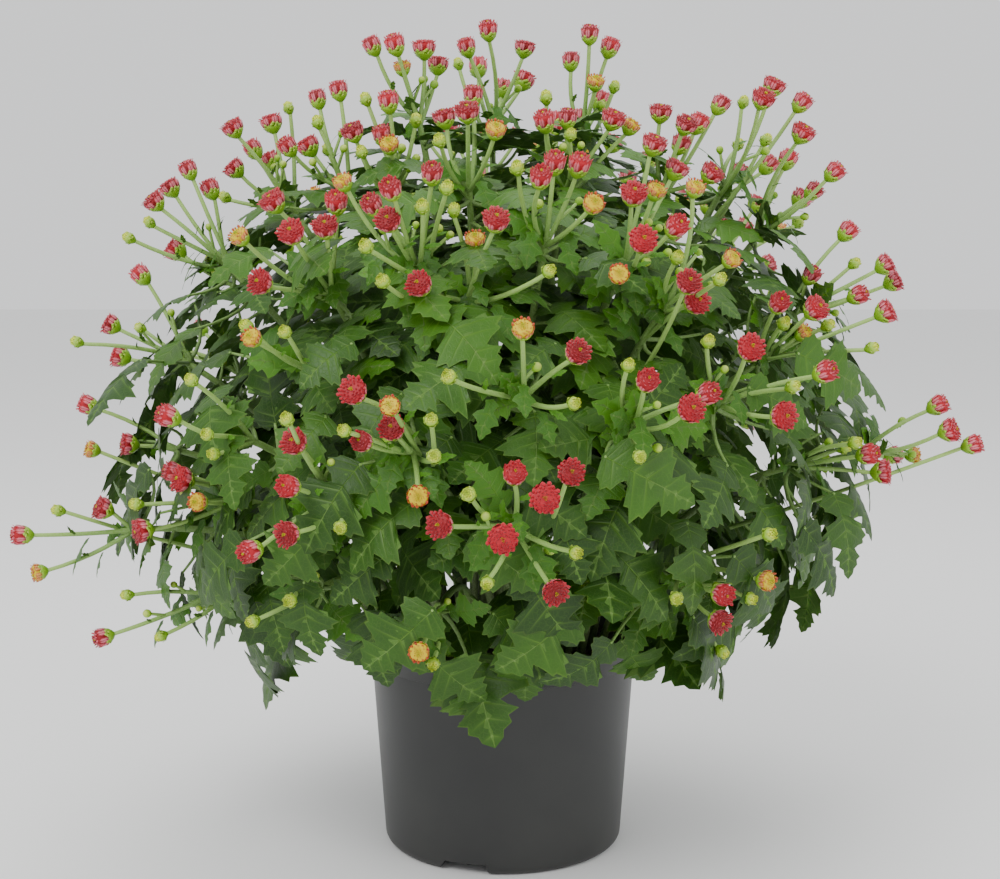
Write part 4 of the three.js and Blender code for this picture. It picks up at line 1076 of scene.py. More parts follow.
def petal(name, material, blunt, curl):
    """A petal of length 1 along X and about 1 wide at its widest, rising by curl at its tip."""
    points, uvs, under = [], [], []
    for u, wide, deep in PETAL_STATIONS:
        lift = curl * u * u
        points += [(u, wide / 2, lift), (u, 0, lift - deep), (u, -wide / 2, lift)]
        uvs += [(u, 0), (u, 0.5), (u, 1)]
        under += [0, 1, 0]
    points.append((blunt, 0, curl * blunt * blunt))
    uvs.append((1, 0.5))
    under.append(0)
    faces = [(0, 1, 2)]
    rows = len(PETAL_STATIONS)
    for i in range(rows - 1):
        for k in range(3):
            a, b = i * 3 + k, i * 3 + (k + 1) % 3
            faces.append((a, a + 3, b + 3, b))
    last = (rows - 1) * 3
    faces += [(last + k, rows * 3, last + (k + 1) % 3) for k in range(3)]
    return mesh_object(name, points, faces, material, uvs, under)


ray_petal = petal("ray_petal", petal_skin, 1.0, 0.10)
cup_petal = petal("cup_petal", petal_skin, 1.0, 0.32)
bract = petal("bract", calyx_skin, 1.0, 0.05)
floret = petal("floret", eye_skin, 1.0, 0.0)
bud_petal = petal("bud_petal", bud_skin, 1.0, 0.35)
print("a petal has", len(ray_petal.data.polygons), "faces")

# %% The spiral tree
GOLDEN_ANGLE = math.pi * (3 - math.sqrt(5))


def spiral_tree():
    ends = [f"{end} {part}" for part in ("radius", "height", "lean", "length", "width")
            for end in ("Inner", "Outer")]
    tree, given = new_tree("petal_spiral", ("Object", ["Petal"]), ("Int", ["Count"]),
                           ("Float", ends + ["Jitter"]), ("Material", ["Finish"]),
                           ("Int", ["Seed"]))
    index = add(tree, "GeometryNodeInputIndex")

    share = add(tree, "ShaderNodeMath", (add(tree, "ShaderNodeMath",
        (add(tree, "ShaderNodeMath", (index, 0.5), operation="ADD"), given["Count"]),
        operation="DIVIDE"), 0.62), operation="POWER")

    def blend(name):
        low, high = given["Inner " + name], given["Outer " + name]
        return add(tree, "ShaderNodeMath", (low, add(tree, "ShaderNodeMath",
            (add(tree, "ShaderNodeMath", (high, low), operation="SUBTRACT"), share),
            operation="MULTIPLY")), operation="ADD").outputs[0]

    def shake(seed, amount):
        draw = add(tree, "FunctionNodeRandomValue", {"Seed": given["Seed"],
            "ID": add(tree, "ShaderNodeMath", (index, seed * 100), operation="ADD")},
            data_type="FLOAT")
        draw.inputs[2].default_value = -amount
        draw.inputs[3].default_value = amount
        return add(tree, "ShaderNodeMath", (draw.outputs[1], given["Jitter"]),
            operation="MULTIPLY").outputs[0]

    angle = add(tree, "ShaderNodeMath", (add(tree, "ShaderNodeMath", (index, GOLDEN_ANGLE),
        operation="MULTIPLY"), shake(1, 0.25)), operation="ADD")
    radius = blend("radius")
    place = add(tree, "ShaderNodeCombineXYZ", {"X": add(tree, "ShaderNodeMath",
        (radius, add(tree, "ShaderNodeMath", (angle,), operation="COSINE")), operation="MULTIPLY"),
        "Y": add(tree, "ShaderNodeMath", (radius, add(tree, "ShaderNodeMath", (angle,),
        operation="SINE")), operation="MULTIPLY"), "Z": blend("height")})
    points = add(tree, "GeometryNodePoints", {"Count": given["Count"], "Position": place})
    named = add(tree, "GeometryNodeStoreNamedAttribute", {"Geometry": points, "Value": share},
        data_type="FLOAT", domain="POINT", Name="ring")
    lean = add(tree, "ShaderNodeMath", (blend("lean"), shake(2, 0.18)), operation="ADD")
    turn = add(tree, "FunctionNodeEulerToRotation", {"Euler": add(tree, "ShaderNodeCombineXYZ",
        {"Y": add(tree, "ShaderNodeMath", (lean, -1), operation="MULTIPLY"), "Z": angle})})
    long = add(tree, "ShaderNodeMath", (blend("length"), add(tree, "ShaderNodeMath",
        (1, shake(3, 0.12)), operation="ADD")), operation="MULTIPLY")
    width = blend("width")
    scale = add(tree, "ShaderNodeCombineXYZ", {"X": long, "Y": width, "Z": width})
    info = add(tree, "GeometryNodeObjectInfo", {"Object": given["Petal"]})
    placed = add(tree, "GeometryNodeInstanceOnPoints", {"Points": named,
        "Instance": info.outputs["Geometry"], "Rotation": turn, "Scale": scale})
    real = add(tree, "GeometryNodeRealizeInstances", {"Geometry": placed})
    finish = add(tree, "GeometryNodeSetMaterial", {"Geometry": real, "Material": given["Finish"]})
    add(tree, "NodeGroupOutput", {"Geometry": finish})
    return tree


petal_spiral = spiral_tree()


def spiral(name, piece, count, radius, height, lean, length, width, jitter=0.6, seed=1):
    """Petals in a spiral. Each pair goes from the middle to the rim, in mm and degrees."""
    holder = mesh_object(name, [(0, 0, 0)], [])
    ends = {}
    for label, pair, unit_size in (("radius", radius, MM), ("height", height, MM),
                                   ("lean", lean, math.pi / 180), ("length", length, MM),
                                   ("width", width, MM)):
        ends["Inner " + label] = pair[0] * unit_size
        ends["Outer " + label] = pair[1] * unit_size
    return run_tree(holder, petal_spiral, name, Petal=piece, Count=count, Seed=seed,
                    Jitter=jitter, Finish=piece.data.materials[0], **ends)

# %% [markdown]
# ## The heads
# A small double chrysanthemum opens in steps: a lime bud, a bud whose rim colours, a cup of
# upright petals with pale backs, and the open head of many short petals round a lime eye. Each
# head stands on a green cup of overlapping bracts. The heads below are made once, with the
# middle of the rim at the origin and the face towards +Z, and then set on every stalk.

# %% The green cup under a head, turned on a lathe
CUP_SIDES = 10


def lathe_mesh(name, profile, sides, material):
    """A closed turned shape from (radius, height) pairs, with a point on the axis at each end."""
    points, uvs, faces = [], [], []
    for i, (radius, height) in enumerate(profile):
        share = i / (len(profile) - 1)
        if radius == 0:
            points.append((0, 0, height * MM))
            uvs.append((share, 0.5))
            continue
        for k in range(sides):
            angle = 2 * math.pi * k / sides
            points.append((radius * MM * math.cos(angle), radius * MM * math.sin(angle),
                height * MM))
            uvs.append((share, 0.5))
    last = len(points) - 1
    for row in range(len(profile) - 3):
        for k in range(sides):
            a, b = 1 + row * sides + k, 1 + row * sides + (k + 1) % sides
            faces.append((a, b, b + sides, a + sides))
    for k in range(sides):
        faces.append((0, 1 + (k + 1) % sides, 1 + k))
        top = 1 + (len(profile) - 3) * sides
        faces.append((top + k, top + (k + 1) % sides, last))
    return mesh_object(name, points, faces, material, uvs, [0] * len(points))


def head_shape(name, parts, cup, heart=()):
    """Joins the parts of a head with its cup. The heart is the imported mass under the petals."""
    cup_shape = lathe_mesh(name + "_cup", cup, CUP_SIDES, calyx_skin)
    if heart:
        parts = parts + [lathe_mesh(name + "_heart", heart, CUP_SIDES, petal_skin)]
    bpy.ops.object.select_all(action="DESELECT")
    for part in parts:
        part.select_set(True)
    cup_shape.select_set(True)
    bpy.context.view_layer.objects.active = cup_shape
    bpy.ops.object.join()
    cup_shape.name = name
    print(name, "has", sum(len(f.vertices) - 2 for f in cup_shape.data.polygons), "triangles")
    return cup_shape


open_head = head_shape("shape_0_open", [spiral("open_rays", ray_petal, 46, (0.9, 5.6), (2.3, 1.1),
    (62, 22), (1.6, 3.0), (1.2, 2.3)), spiral("open_wall", cup_petal, 27, (5.0, 5.4), (-3.9, -3.4),
    (66, 62), (5.5, 5.2), (2.3, 2.5), seed=5), spiral("open_eye", floret, 10, (0.1, 1.0),
    (2.3, 2.1), (88, 80), (1.1, 1.3), (0.8, 0.8)), spiral("open_bracts", bract, 16, (2.6, 5.0),
    (-6.6, -4.4), (30, 58), (3.2, 3.4), (2.2, 2.5))], ((0, -8.4), (1.5, -8.2), (2.8, -7.2),
    (4.9, -5.2), (5.6, -3.4), (4.6, -2.2), (0, -2)), ((0, -6.0), (3.6, -5.2), (5.2, -3.2),
    (6.4, -0.8), (6.6, 0.6), (5.6, 1.8), (3.0, 2.2), (0, 1.8)))
half_head = head_shape("shape_1_half", [spiral("half_rays", cup_petal, 26, (0.7, 4.4), (2.8, 1.7),
    (70, 42), (1.4, 2.5), (1.1, 2.0)), spiral("half_wall", cup_petal, 25, (4.3, 4.6), (-4.6, -4.1),
    (76, 72), (6.6, 6.3), (2.1, 2.3), seed=5), spiral("half_eye", floret, 7, (0.1, 0.7),
    (2.9, 2.7), (88, 84), (1.0, 1.2), (0.8, 0.8)), spiral("half_bracts", bract, 15, (2.4, 4.5),
    (-7.4, -5.0), (34, 72), (3.4, 3.6), (2.2, 2.4))], ((0, -9.0), (1.5, -8.8), (2.8, -7.8),
    (4.5, -5.8), (5.0, -4.0), (4.2, -2.8), (0, -2.4)), ((0, -7.0), (3.2, -6.2), (4.5, -4.2),
    (5.4, -1.0), (5.6, 1.0), (4.6, 2.3), (2.2, 2.8), (0, 2.4)))
young_head = head_shape("shape_2_young", [spiral("young_rays", ray_petal, 16, (2.9, 4.3),
    (1.6, 1.0), (60, 34), (1.4, 2.1), (1.2, 1.7)), spiral("young_wall", cup_petal, 21, (4.0, 4.3),
    (-3.4, -3.0), (68, 64), (4.5, 4.3), (2.0, 2.2), seed=5), spiral("young_eye", floret, 22,
    (0.1, 2.4), (1.6, 1.3), (89, 72), (0.9, 1.3), (0.9, 1.0)), spiral("young_bracts", bract, 14,
    (2.2, 4.0), (-5.6, -3.6), (32, 68), (2.8, 3.2), (2.2, 2.4))],
    ((0, -7.2), (1.5, -7.0), (2.6, -6.2), (4.2, -4.4), (4.7, -2.8), (3.9, -1.8), (0, -1.6)),
    ((0, -5.4), (3.0, -4.6), (4.1, -2.8), (5.0, -0.4), (4.9, 0.8), (4.0, 1.5), (2.4, 1.4),
    (0, 1.3)))
bud_head = head_shape("shape_3_bud", [
    spiral("bud_petals", bud_petal, 26, (0.2, 2.8), (2.6, -0.4), (88, 78), (0.9, 2.6), (0.9, 1.7)),
    spiral("bud_bracts", bract, 10, (2.0, 3.0), (-4.4, -3.0), (34, 72), (2.4, 2.8), (2.0, 2.2)),
], ((0, -5.9), (1.2, -5.7), (2.2, -4.6), (3.2, -2.8), (3.5, -0.8), (2.6, 1.2), (0, 2.0)))
small_bud = head_shape("shape_4_small_bud", [
    spiral("small_bracts", bract, 9, (1.1, 1.7), (-2.2, -1.4), (42, 84), (1.6, 2.1), (1.3, 1.4)),
], ((0, -3.2), (0.8, -3.0), (1.4, -2.2), (2.1, -1.0), (2.2, 0.4), (1.4, 1.6), (0, 2.0)))

# %% [markdown]
# ### Young heads
# A young head has golden petals round a large eye.

# %% Colour group of a head: gold for the young ones, crimson for the others
def fill_value(piece, name, value):
    layer = piece.data.attributes.get(name) or piece.data.attributes.new(name, "FLOAT", "POINT")
    layer.data.foreach_set("value", [value] * len(layer.data))


for piece in (open_head, half_head, young_head, bud_head, small_bud):
    fill_value(piece, "gold", 1 if piece is young_head else 0)
print("gold petals on", young_head.name)

# %% [markdown]
# ## The leaves
# A chrysanthemum leaf is a thin blade with five lobes and blunt teeth. Its side veins run
# forward from the midrib to the lobes, and the blade swells a little between them. The blade is
# built as rows that follow the veins: each row starts on the midrib and ends at the edge. The
# upper and the lower face meet in a sharp edge. A few variants droop, twist and cup differently.

# %% One blade of length 1
BLADE_THICK = 0.011
BLADE_WAVE = 0.05
SWELL = 0.005


def blade(name, seed, edge=BLADE_EDGE, narrow=1.0, droop=LEAF_DROOP, hang=LEAF_HANG):
    draw = random.Random(seed)
    twist = draw.uniform(-0.35, 0.35)
    waves = draw.uniform(3.0, 5.0)
    phase = draw.uniform(0, 6)
    sweep = draw.uniform(-0.10, 0.10)
    tilt = draw.uniform(-0.12, 0.12)

    def surface(u, v, lift):
        v = v * narrow
        z = LEAF_RISE * u - droop * u * u - hang * v * v + lift
        z += BLADE_WAVE * abs(v) * math.sin(waves * 2 * u + phase + (1.5 if v > 0 else 0))
        z += twist * u * v * 0.5
        return (u - 0.05 * u * u, v + sweep * u * u + tilt * u * abs(v), z)

    rows = [0.0] + rows_of(edge) + [1.0]
    rim = [(0.0, 0.006, 0)] + list(edge) + [(1.0, 0.0, 0)]
    veined = [0] + [ends for _, _, ends in edge]
    points, uvs, vein = [], [], []

    def point(u, v, lift, row, across):
        points.append(surface(u, v, lift))
        uvs.append((row, 0.5 + 0.5 * across))
        vein.append(veined[rows.index(row)] if row in rows[:-1] else 0)
        return len(points) - 1

    faces, below = [], []
    ribs = {}
    for face in ("top", "bottom"):
        depth = 0 if face == "top" else BLADE_THICK
        ribs[face] = [point(row, 0, -depth * (1.4 - 0.6 * row) - (0.012 if face == "top" else 0),
                            row, 0) for row in rows[:-1]]
    tip = point(1.0, 0, -0.004, 1.0, 0)
    base = {}
    for side in (1, -1):
        border = [point(u, v * side, 0, row, side) for (u, v, _), row in zip(rim[:-1], rows)]
        border.append(tip)
        base[side] = border[0]
        for face in ("top", "bottom"):
            depth = 0 if face == "top" else BLADE_THICK * 0.7
            middle = []
            for (u, v, ends), row in zip(rim[:-1], rows):
                lift = (-SWELL * 0.35 if ends else SWELL) * min(1, v * 5) - depth
                middle.append(point((row + u) / 2, v * side / 2, lift, row, side * 0.5))
            middle.append(tip)
            base[face, side] = middle[0]
            rib = ribs[face] + [tip]
            flip = (side == 1) != (face == "top")
            for i in range(len(rows) - 1):
                for left, right in ((rib, middle), (middle, border)):
                    ring = [left[i], left[i + 1], right[i + 1], right[i]]
                    ring = [p for n, p in enumerate(ring) if p not in ring[:n]]
                    if len(ring) < 3:
                        continue
                    faces.append(ring[::-1] if flip else ring)
                    below.append(0 if face == "top" else 1)
    # the open base is closed between the two faces
    faces.append([base["bottom", 1], ribs["bottom"][0], base["bottom", -1], base[-1],
                  base["top", -1], ribs["top"][0], base["top", 1], base[1]])
    below.append(0)
    piece = mesh_object(name, points, faces, leaf_skin, uvs)
    shape = piece.data
    layer = shape.attributes.new("under", "FLOAT", "CORNER")
    for polygon, value in zip(shape.polygons, below):
        for corner in polygon.loop_indices:
            layer.data[corner].value = value
    sharp = shape.attributes.new("sharp_edge", "BOOLEAN", "EDGE")
    faces_at = {}
    for polygon, value in zip(shape.polygons, below):
        for key in polygon.edge_keys:
            faces_at.setdefault(key, set()).add(value)
    for edge_line in shape.edges:
        sharp.data[edge_line.index].value = len(faces_at[tuple(sorted(edge_line.vertices))]) > 1
    fill_value(piece, "ring", 0)
    fill_value(piece, "vein", 0)
    shape.attributes["vein"].data.foreach_set("value", vein)
    return piece


BRACT_EDGE = (
    (0.05, 0.05, 0), (0.16, 0.09, 0), (0.30, 0.15, 1), (0.36, 0.10, 0), (0.48, 0.12, 0),
    (0.60, 0.17, 1), (0.68, 0.10, 0), (0.84, 0.08, 1),
)
YOUNG_EDGE = (
    (0.03, 0.05, 0), (0.10, 0.16, 1), (0.18, 0.12, 0), (0.30, 0.11, 0), (0.40, 0.24, 0),
    (0.52, 0.31, 1), (0.58, 0.22, 0), (0.66, 0.15, 0), (0.74, 0.20, 1), (0.84, 0.10, 0),
    (0.92, 0.07, 1),
)
LEAF_SHAPES = 5
FIRST_LEAF_SHAPE = 5
FIRST_LEAF_SEED = 11
for number in range(LEAF_SHAPES):
    made = blade(f"shape_{FIRST_LEAF_SHAPE + number}_leaf", FIRST_LEAF_SEED + number,
        droop=LEAF_DROOP * (0.75 + 0.2 * number), hang=LEAF_HANG * (1.3 - 0.22 * number))
made_bract = blade("shape_a_bract", 31, BRACT_EDGE, 1.0, 0.30, 0.5)
blade("shape_b_young", 41, YOUNG_EDGE, 1.0, 0.30, 0.4)
blade("shape_c_young", 43, YOUNG_EDGE, 1.15, 0.48, 0.7)
print("a leaf has", sum(len(f.vertices) - 2 for f in made.data.polygons),
    "triangles, a bract leaf", sum(len(f.vertices) - 2 for f in made_bract.data.polygons))
BRACT_SHAPE = FIRST_LEAF_SHAPE + LEAF_SHAPES
YOUNG_SHAPES = (BRACT_SHAPE + 1, BRACT_SHAPE + 2)

# %% [markdown]
# ## A leafy stem as a Geometry Nodes tree
# Every spray is one object. Its input is a plain mesh of lines and loose points. The lines are
# the stem, the stalks and the petioles, and the tree sweeps a small round along them with the
# thickness that each point gives. The loose points are the leaves, heads and buds, and the tree
# sets one of the shapes on each, turned by two directions that the point carries.

# %% The collection of shapes
shapes = bpy.data.collections.new("shapes")
for piece in [o for o in bpy.data.objects if o.name.startswith("shape_")]:
    shapes.objects.link(piece)
    bpy.context.collection.objects.unlink(piece)
for piece in (ray_petal, cup_petal, bract, floret, bud_petal):
    bpy.data.objects.remove(piece)

# %% [markdown]
# ### Sweep and scatter
# Lines become stems, and points become leaves and heads.

# %% The tree
def leafy_stem_tree():
    tree, given = new_tree("leafy_stem", ("Geometry", ["Lines and points"]),
                           ("Collection", ["Shapes"]), ("Int", ["Stem sides"]),
                           ("Material", ["Stem finish"]))

    split = add(tree, "GeometryNodeSeparateGeometry", {"Geometry": given["Lines and points"],
        "Selection": add(tree, "GeometryNodeInputNamedAttribute", data_type="BOOLEAN",
        Name="is_line")})
    curve = add(tree, "GeometryNodeMeshToCurve", {"Mesh": split.outputs["Selection"]})
    circle = add(tree, "GeometryNodeCurvePrimitiveCircle", {"Resolution": given["Stem sides"]},
                 mode="RADIUS", Radius=1.0)
    swept = add(tree, "GeometryNodeCurveToMesh", {"Curve": curve, "Profile Curve": circle,
        "Scale": add(tree, "GeometryNodeInputNamedAttribute", data_type="FLOAT", Name="thick")},
        Fill_Caps=True)
    smooth = add(tree, "GeometryNodeSetShadeSmooth", {"Geometry": swept})
    stalks = add(tree, "GeometryNodeStoreNamedAttribute", {"Geometry": smooth},
        data_type="BOOLEAN", domain="FACE", Name="is_stem", Value=True)
    points = add(tree, "GeometryNodeMeshToPoints", {"Mesh": split.outputs["Inverted"]})
    pool = add(tree, "GeometryNodeCollectionInfo", {"Collection": given["Shapes"]},
               Separate_Children=True, Reset_Children=True)
    turn = add(tree, "FunctionNodeAxesToRotation", {"Primary Axis": add(tree,
        "GeometryNodeInputNamedAttribute", data_type="FLOAT_VECTOR", Name="face"),
        "Secondary Axis": add(tree, "GeometryNodeInputNamedAttribute", data_type="FLOAT_VECTOR",
        Name="grow")}, primary_axis="Z", secondary_axis="X")
    placed = add(tree, "GeometryNodeInstanceOnPoints", {"Points": points, "Instance": pool,
        "Instance Index": add(tree, "GeometryNodeInputNamedAttribute", data_type="INT",
        Name="shape"), "Rotation": turn, "Scale": add(tree, "GeometryNodeInputNamedAttribute",
        data_type="FLOAT", Name="length")}, Pick_Instance=True)
    joined = add(tree, "GeometryNodeJoinGeometry")
    tree.links.new(placed.outputs[0], joined.inputs[0])
    tree.links.new(stalks.outputs[0], joined.inputs[0])
    real = add(tree, "GeometryNodeRealizeInstances", {"Geometry": joined})
    finish = add(tree, "GeometryNodeSetMaterial", {"Geometry": real,
        "Selection": add(tree, "GeometryNodeInputNamedAttribute", data_type="BOOLEAN",
        Name="is_stem"), "Material": given["Stem finish"]})
    add(tree, "NodeGroupOutput", {"Geometry": finish})
    return tree


leafy_stem = leafy_stem_tree()
HEAD_SHAPES = {"R": 0, "P": 1, "O": 2, "G": 3, "g": 4}

# %% [markdown]
# ### The plan of a spray
# Every line and point of a spray is listed first, with the values that the tree reads.

# %% Lines and points of one spray
class Plan:
    """The lines and loose points of one spray, in millimetres."""

    def __init__(self):
        self.points = []
        self.edges = []
        self.values = {"thick": [], "is_line": [], "face": [], "grow": [], "shape": [],
                       "length": [], "tone": [], "young": []}

    def put(self, at, **given):
        usual = {"thick": 0, "is_line": False, "face": (0, 0, 1), "grow": (1, 0, 0), "shape": 0,
                 "length": 1, "tone": 0.5, "young": 0}
        for key, value in {**usual, **given}.items():
            self.values[key].append(value)
        self.points.append(times(at, MM))
        return len(self.points) - 1

    def line(self, path, radii, youth):
        last = None
        for i, at in enumerate(path):
            share = i / (len(path) - 1)
            new = self.put(at, thick=between(radii, share) * MM, is_line=True,
                           young=between(youth, share))
            if last is not None:
                self.edges.append((last, new))
            last = new

    def leaf(self, leaf, shape, tone, young):
        self.put(leaf_point(leaf, 0, 0), face=leaf["up"], grow=leaf["along"], shape=shape,
                 length=leaf["length"] * MM, tone=tone, young=young)

    def head(self, head, tone):
        self.put(head["centre"], face=head["facing"], grow=cross(head["facing"], (0.3, 0.9, 0.2)),
                 shape=HEAD_SHAPES[head["kind"]], length=0.94 + 0.12 * tone, tone=tone)


def curved(points, count):
    """Points along the smooth curve through a broken line of two or three points."""
    if len(points) == 2:
        middle = toward(points[0], points[1], 0.5)
    else:
        middle = points[1]
    control = minus(times(middle, 2), toward(points[0], points[-1], 0.5))
    return [bezier([points[0], control, points[-1]], i / count) for i in range(count + 1)]

# %% [markdown]
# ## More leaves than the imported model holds
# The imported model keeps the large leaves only. The real crown is closed with foliage, so leaves
# are added in three ways: more leaves up each stem, a small leaf where each stalk starts, and a
# layer just below the surface of the dome. Each one hangs on a petiole from the nearest stem.

# %% Where more leaves go
STEM_LEAF_STEP = 19
STEM_LEAF_FROM = 0.40
STEM_LEAF_TO = 0.98
STEM_LEAF_LENGTHS = (62, 30)
DOME_LEAVES = 305
DOME_LEAF_SPAN = 1.72
DOME_LEAF_DEPTHS = (0.74, 0.90)
TOP_LEAF_DEPTHS = (0.60, 0.76)
DOME_LEAF_LENGTHS = (40, 60)
TOP_LEAF_LENGTHS = (34, 48)
LOWEST_LEAF = 96


def dome_share(at):
    """How far out a point lies: 1 on the dome, less inside it."""
    high = DOME_HIGH if at[2] >= DOME_CENTRE[2] else DOME_LOW
    scaled = ((at[0] - DOME_CENTRE[0]) / DOME_WIDE, at[1] / DOME_DEEP,
        (at[2] - DOME_CENTRE[2]) / high)
    return size(scaled)


def fits(leaf, most=1.0):
    """True where a leaf keeps off the pot and the ground and inside the dome."""
    spots = [leaf_point(leaf, u, v) for u, v in ((0.1, 0), (0.55, 0.4), (0.55, -0.4), (1, 0))]
    return (all(clear_of_pot(at, LEAF_POT_GAP) and at[2] > LOWEST_LEAF for at in spots)
            and dome_share(spots[-1]) < most)


def stem_leaves(spray):
    stem, owner = spray["stem"], spray["owner"]
    long = size(minus(stem[3], stem[0]))
    count = math.floor(long * (STEM_LEAF_TO - STEM_LEAF_FROM) / STEM_LEAF_STEP)
    found = []
    for i in range(count):
        share = (i + chance(owner, i, 41)) / count
        t = STEM_LEAF_FROM + (STEM_LEAF_TO - STEM_LEAF_FROM) * share
        place = stem_frame(stem, t)
        angle = GOLDEN_ANGLE * i + owner
        side = plus(times(place["sides"][0], math.cos(angle)),
                    times(cross(place["way"], place["sides"][0]), math.sin(angle)))
        length = between(STEM_LEAF_LENGTHS, share) * (0.8 + 0.4 * chance(owner, i, 42))
        along = unit(plus(plus(side, times(place["way"], 0.5)),
                          times(UP, -0.45 * chance(owner, i, 43))))
        face = unit(plus(outward(place["at"]), times(UP, 0.2 + 1.1 * chance(owner, i, 45))))
        leaf = leaf_from(place["at"], along, face, length, length * 0.3)
        if fits(leaf):
            found.append((leaf, chance(owner, i, 44), 0.08 + 0.35 * share))
    return found


def dome_leaves():
    """Leaves in a spiral over the dome, with the spray whose stem is nearest to each."""
    marks = [(bezier(s["stem"], t), s, t) for s in sprays for t in (0.45, 0.55, 0.65, 0.75, 0.85,
        0.95)]
    found = []
    for i in range(DOME_LEAVES):
        z = 1 - DOME_LEAF_SPAN * (i + 0.5) / DOME_LEAVES
        ring = math.sqrt(max(0, 1 - z * z))
        angle = GOLDEN_ANGLE * i
        way = (ring * math.cos(angle), ring * math.sin(angle), z)
        height = max(0, z)
        depth = between((between((DOME_LEAF_DEPTHS[0], TOP_LEAF_DEPTHS[0]), height),
            between((DOME_LEAF_DEPTHS[1], TOP_LEAF_DEPTHS[1]), height)), chance(i, 51))
        high = DOME_HIGH if z >= 0 else DOME_LOW
        base = plus(DOME_CENTRE, (way[0] * DOME_WIDE * depth, way[1] * DOME_DEEP * depth,
                                  way[2] * high * depth))
        around = unit(cross(UP, way))
        down = cross(around, way)
        swing = 2.4 * (chance(i, 52) - 0.5)
        along = unit(plus(plus(times(way, 0.55 - 0.2 * height), times(down, 0.75 - 0.3 * z)),
                          times(around, swing)))
        face = unit(plus(plus(way, times(UP, 1.1 * chance(i, 55))),
                         times(around, 1.1 * (chance(i, 56) - 0.5))))
        start, spray, _ = min(marks, key=lambda mark: size(minus(mark[0], base)))
        length = between((between((DOME_LEAF_LENGTHS[0], TOP_LEAF_LENGTHS[0]), height),
                          between((DOME_LEAF_LENGTHS[1], TOP_LEAF_LENGTHS[1]), height)),
                         chance(i, 53))
        leaf = leaf_from(base, along, face, length, 0)
        if fits(leaf, 1.03):
            found.append((leaf, start, spray, chance(i, 54), 0.1 + 0.25 * max(z, 0)))
    return found


fill = dome_leaves()
print("leaves on the dome", len(fill))

# %% [markdown]
# ### Build the sprays
# Each spray takes the place of one solid of the imported model, and that solid is hidden.

# %% Build every leafy stem
STALK_START = 0.93
LONG_STALK = 42
TINY_LEAF_REACH = 24
YOUNG_LENGTHS = (15, 32)
TINY_LENGTHS = (7, 13)
HUNG_LENGTHS = (16, 26)
SIDE_BUD_LENGTHS = (8, 16)
STEM_STEPS = 16
SIDE_BUD_REACH = 20
SIDE_BUD_SHARE = 0.4


def loose_stalk(spray, head):
    """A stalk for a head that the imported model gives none, from near the end of the stem."""
    t = STALK_START - 0.03 * (head["part"] % 4)
    place = stem_frame(spray["stem"], t)
    head.update(stalk_to(place["at"], place["way"], head, 0.4))


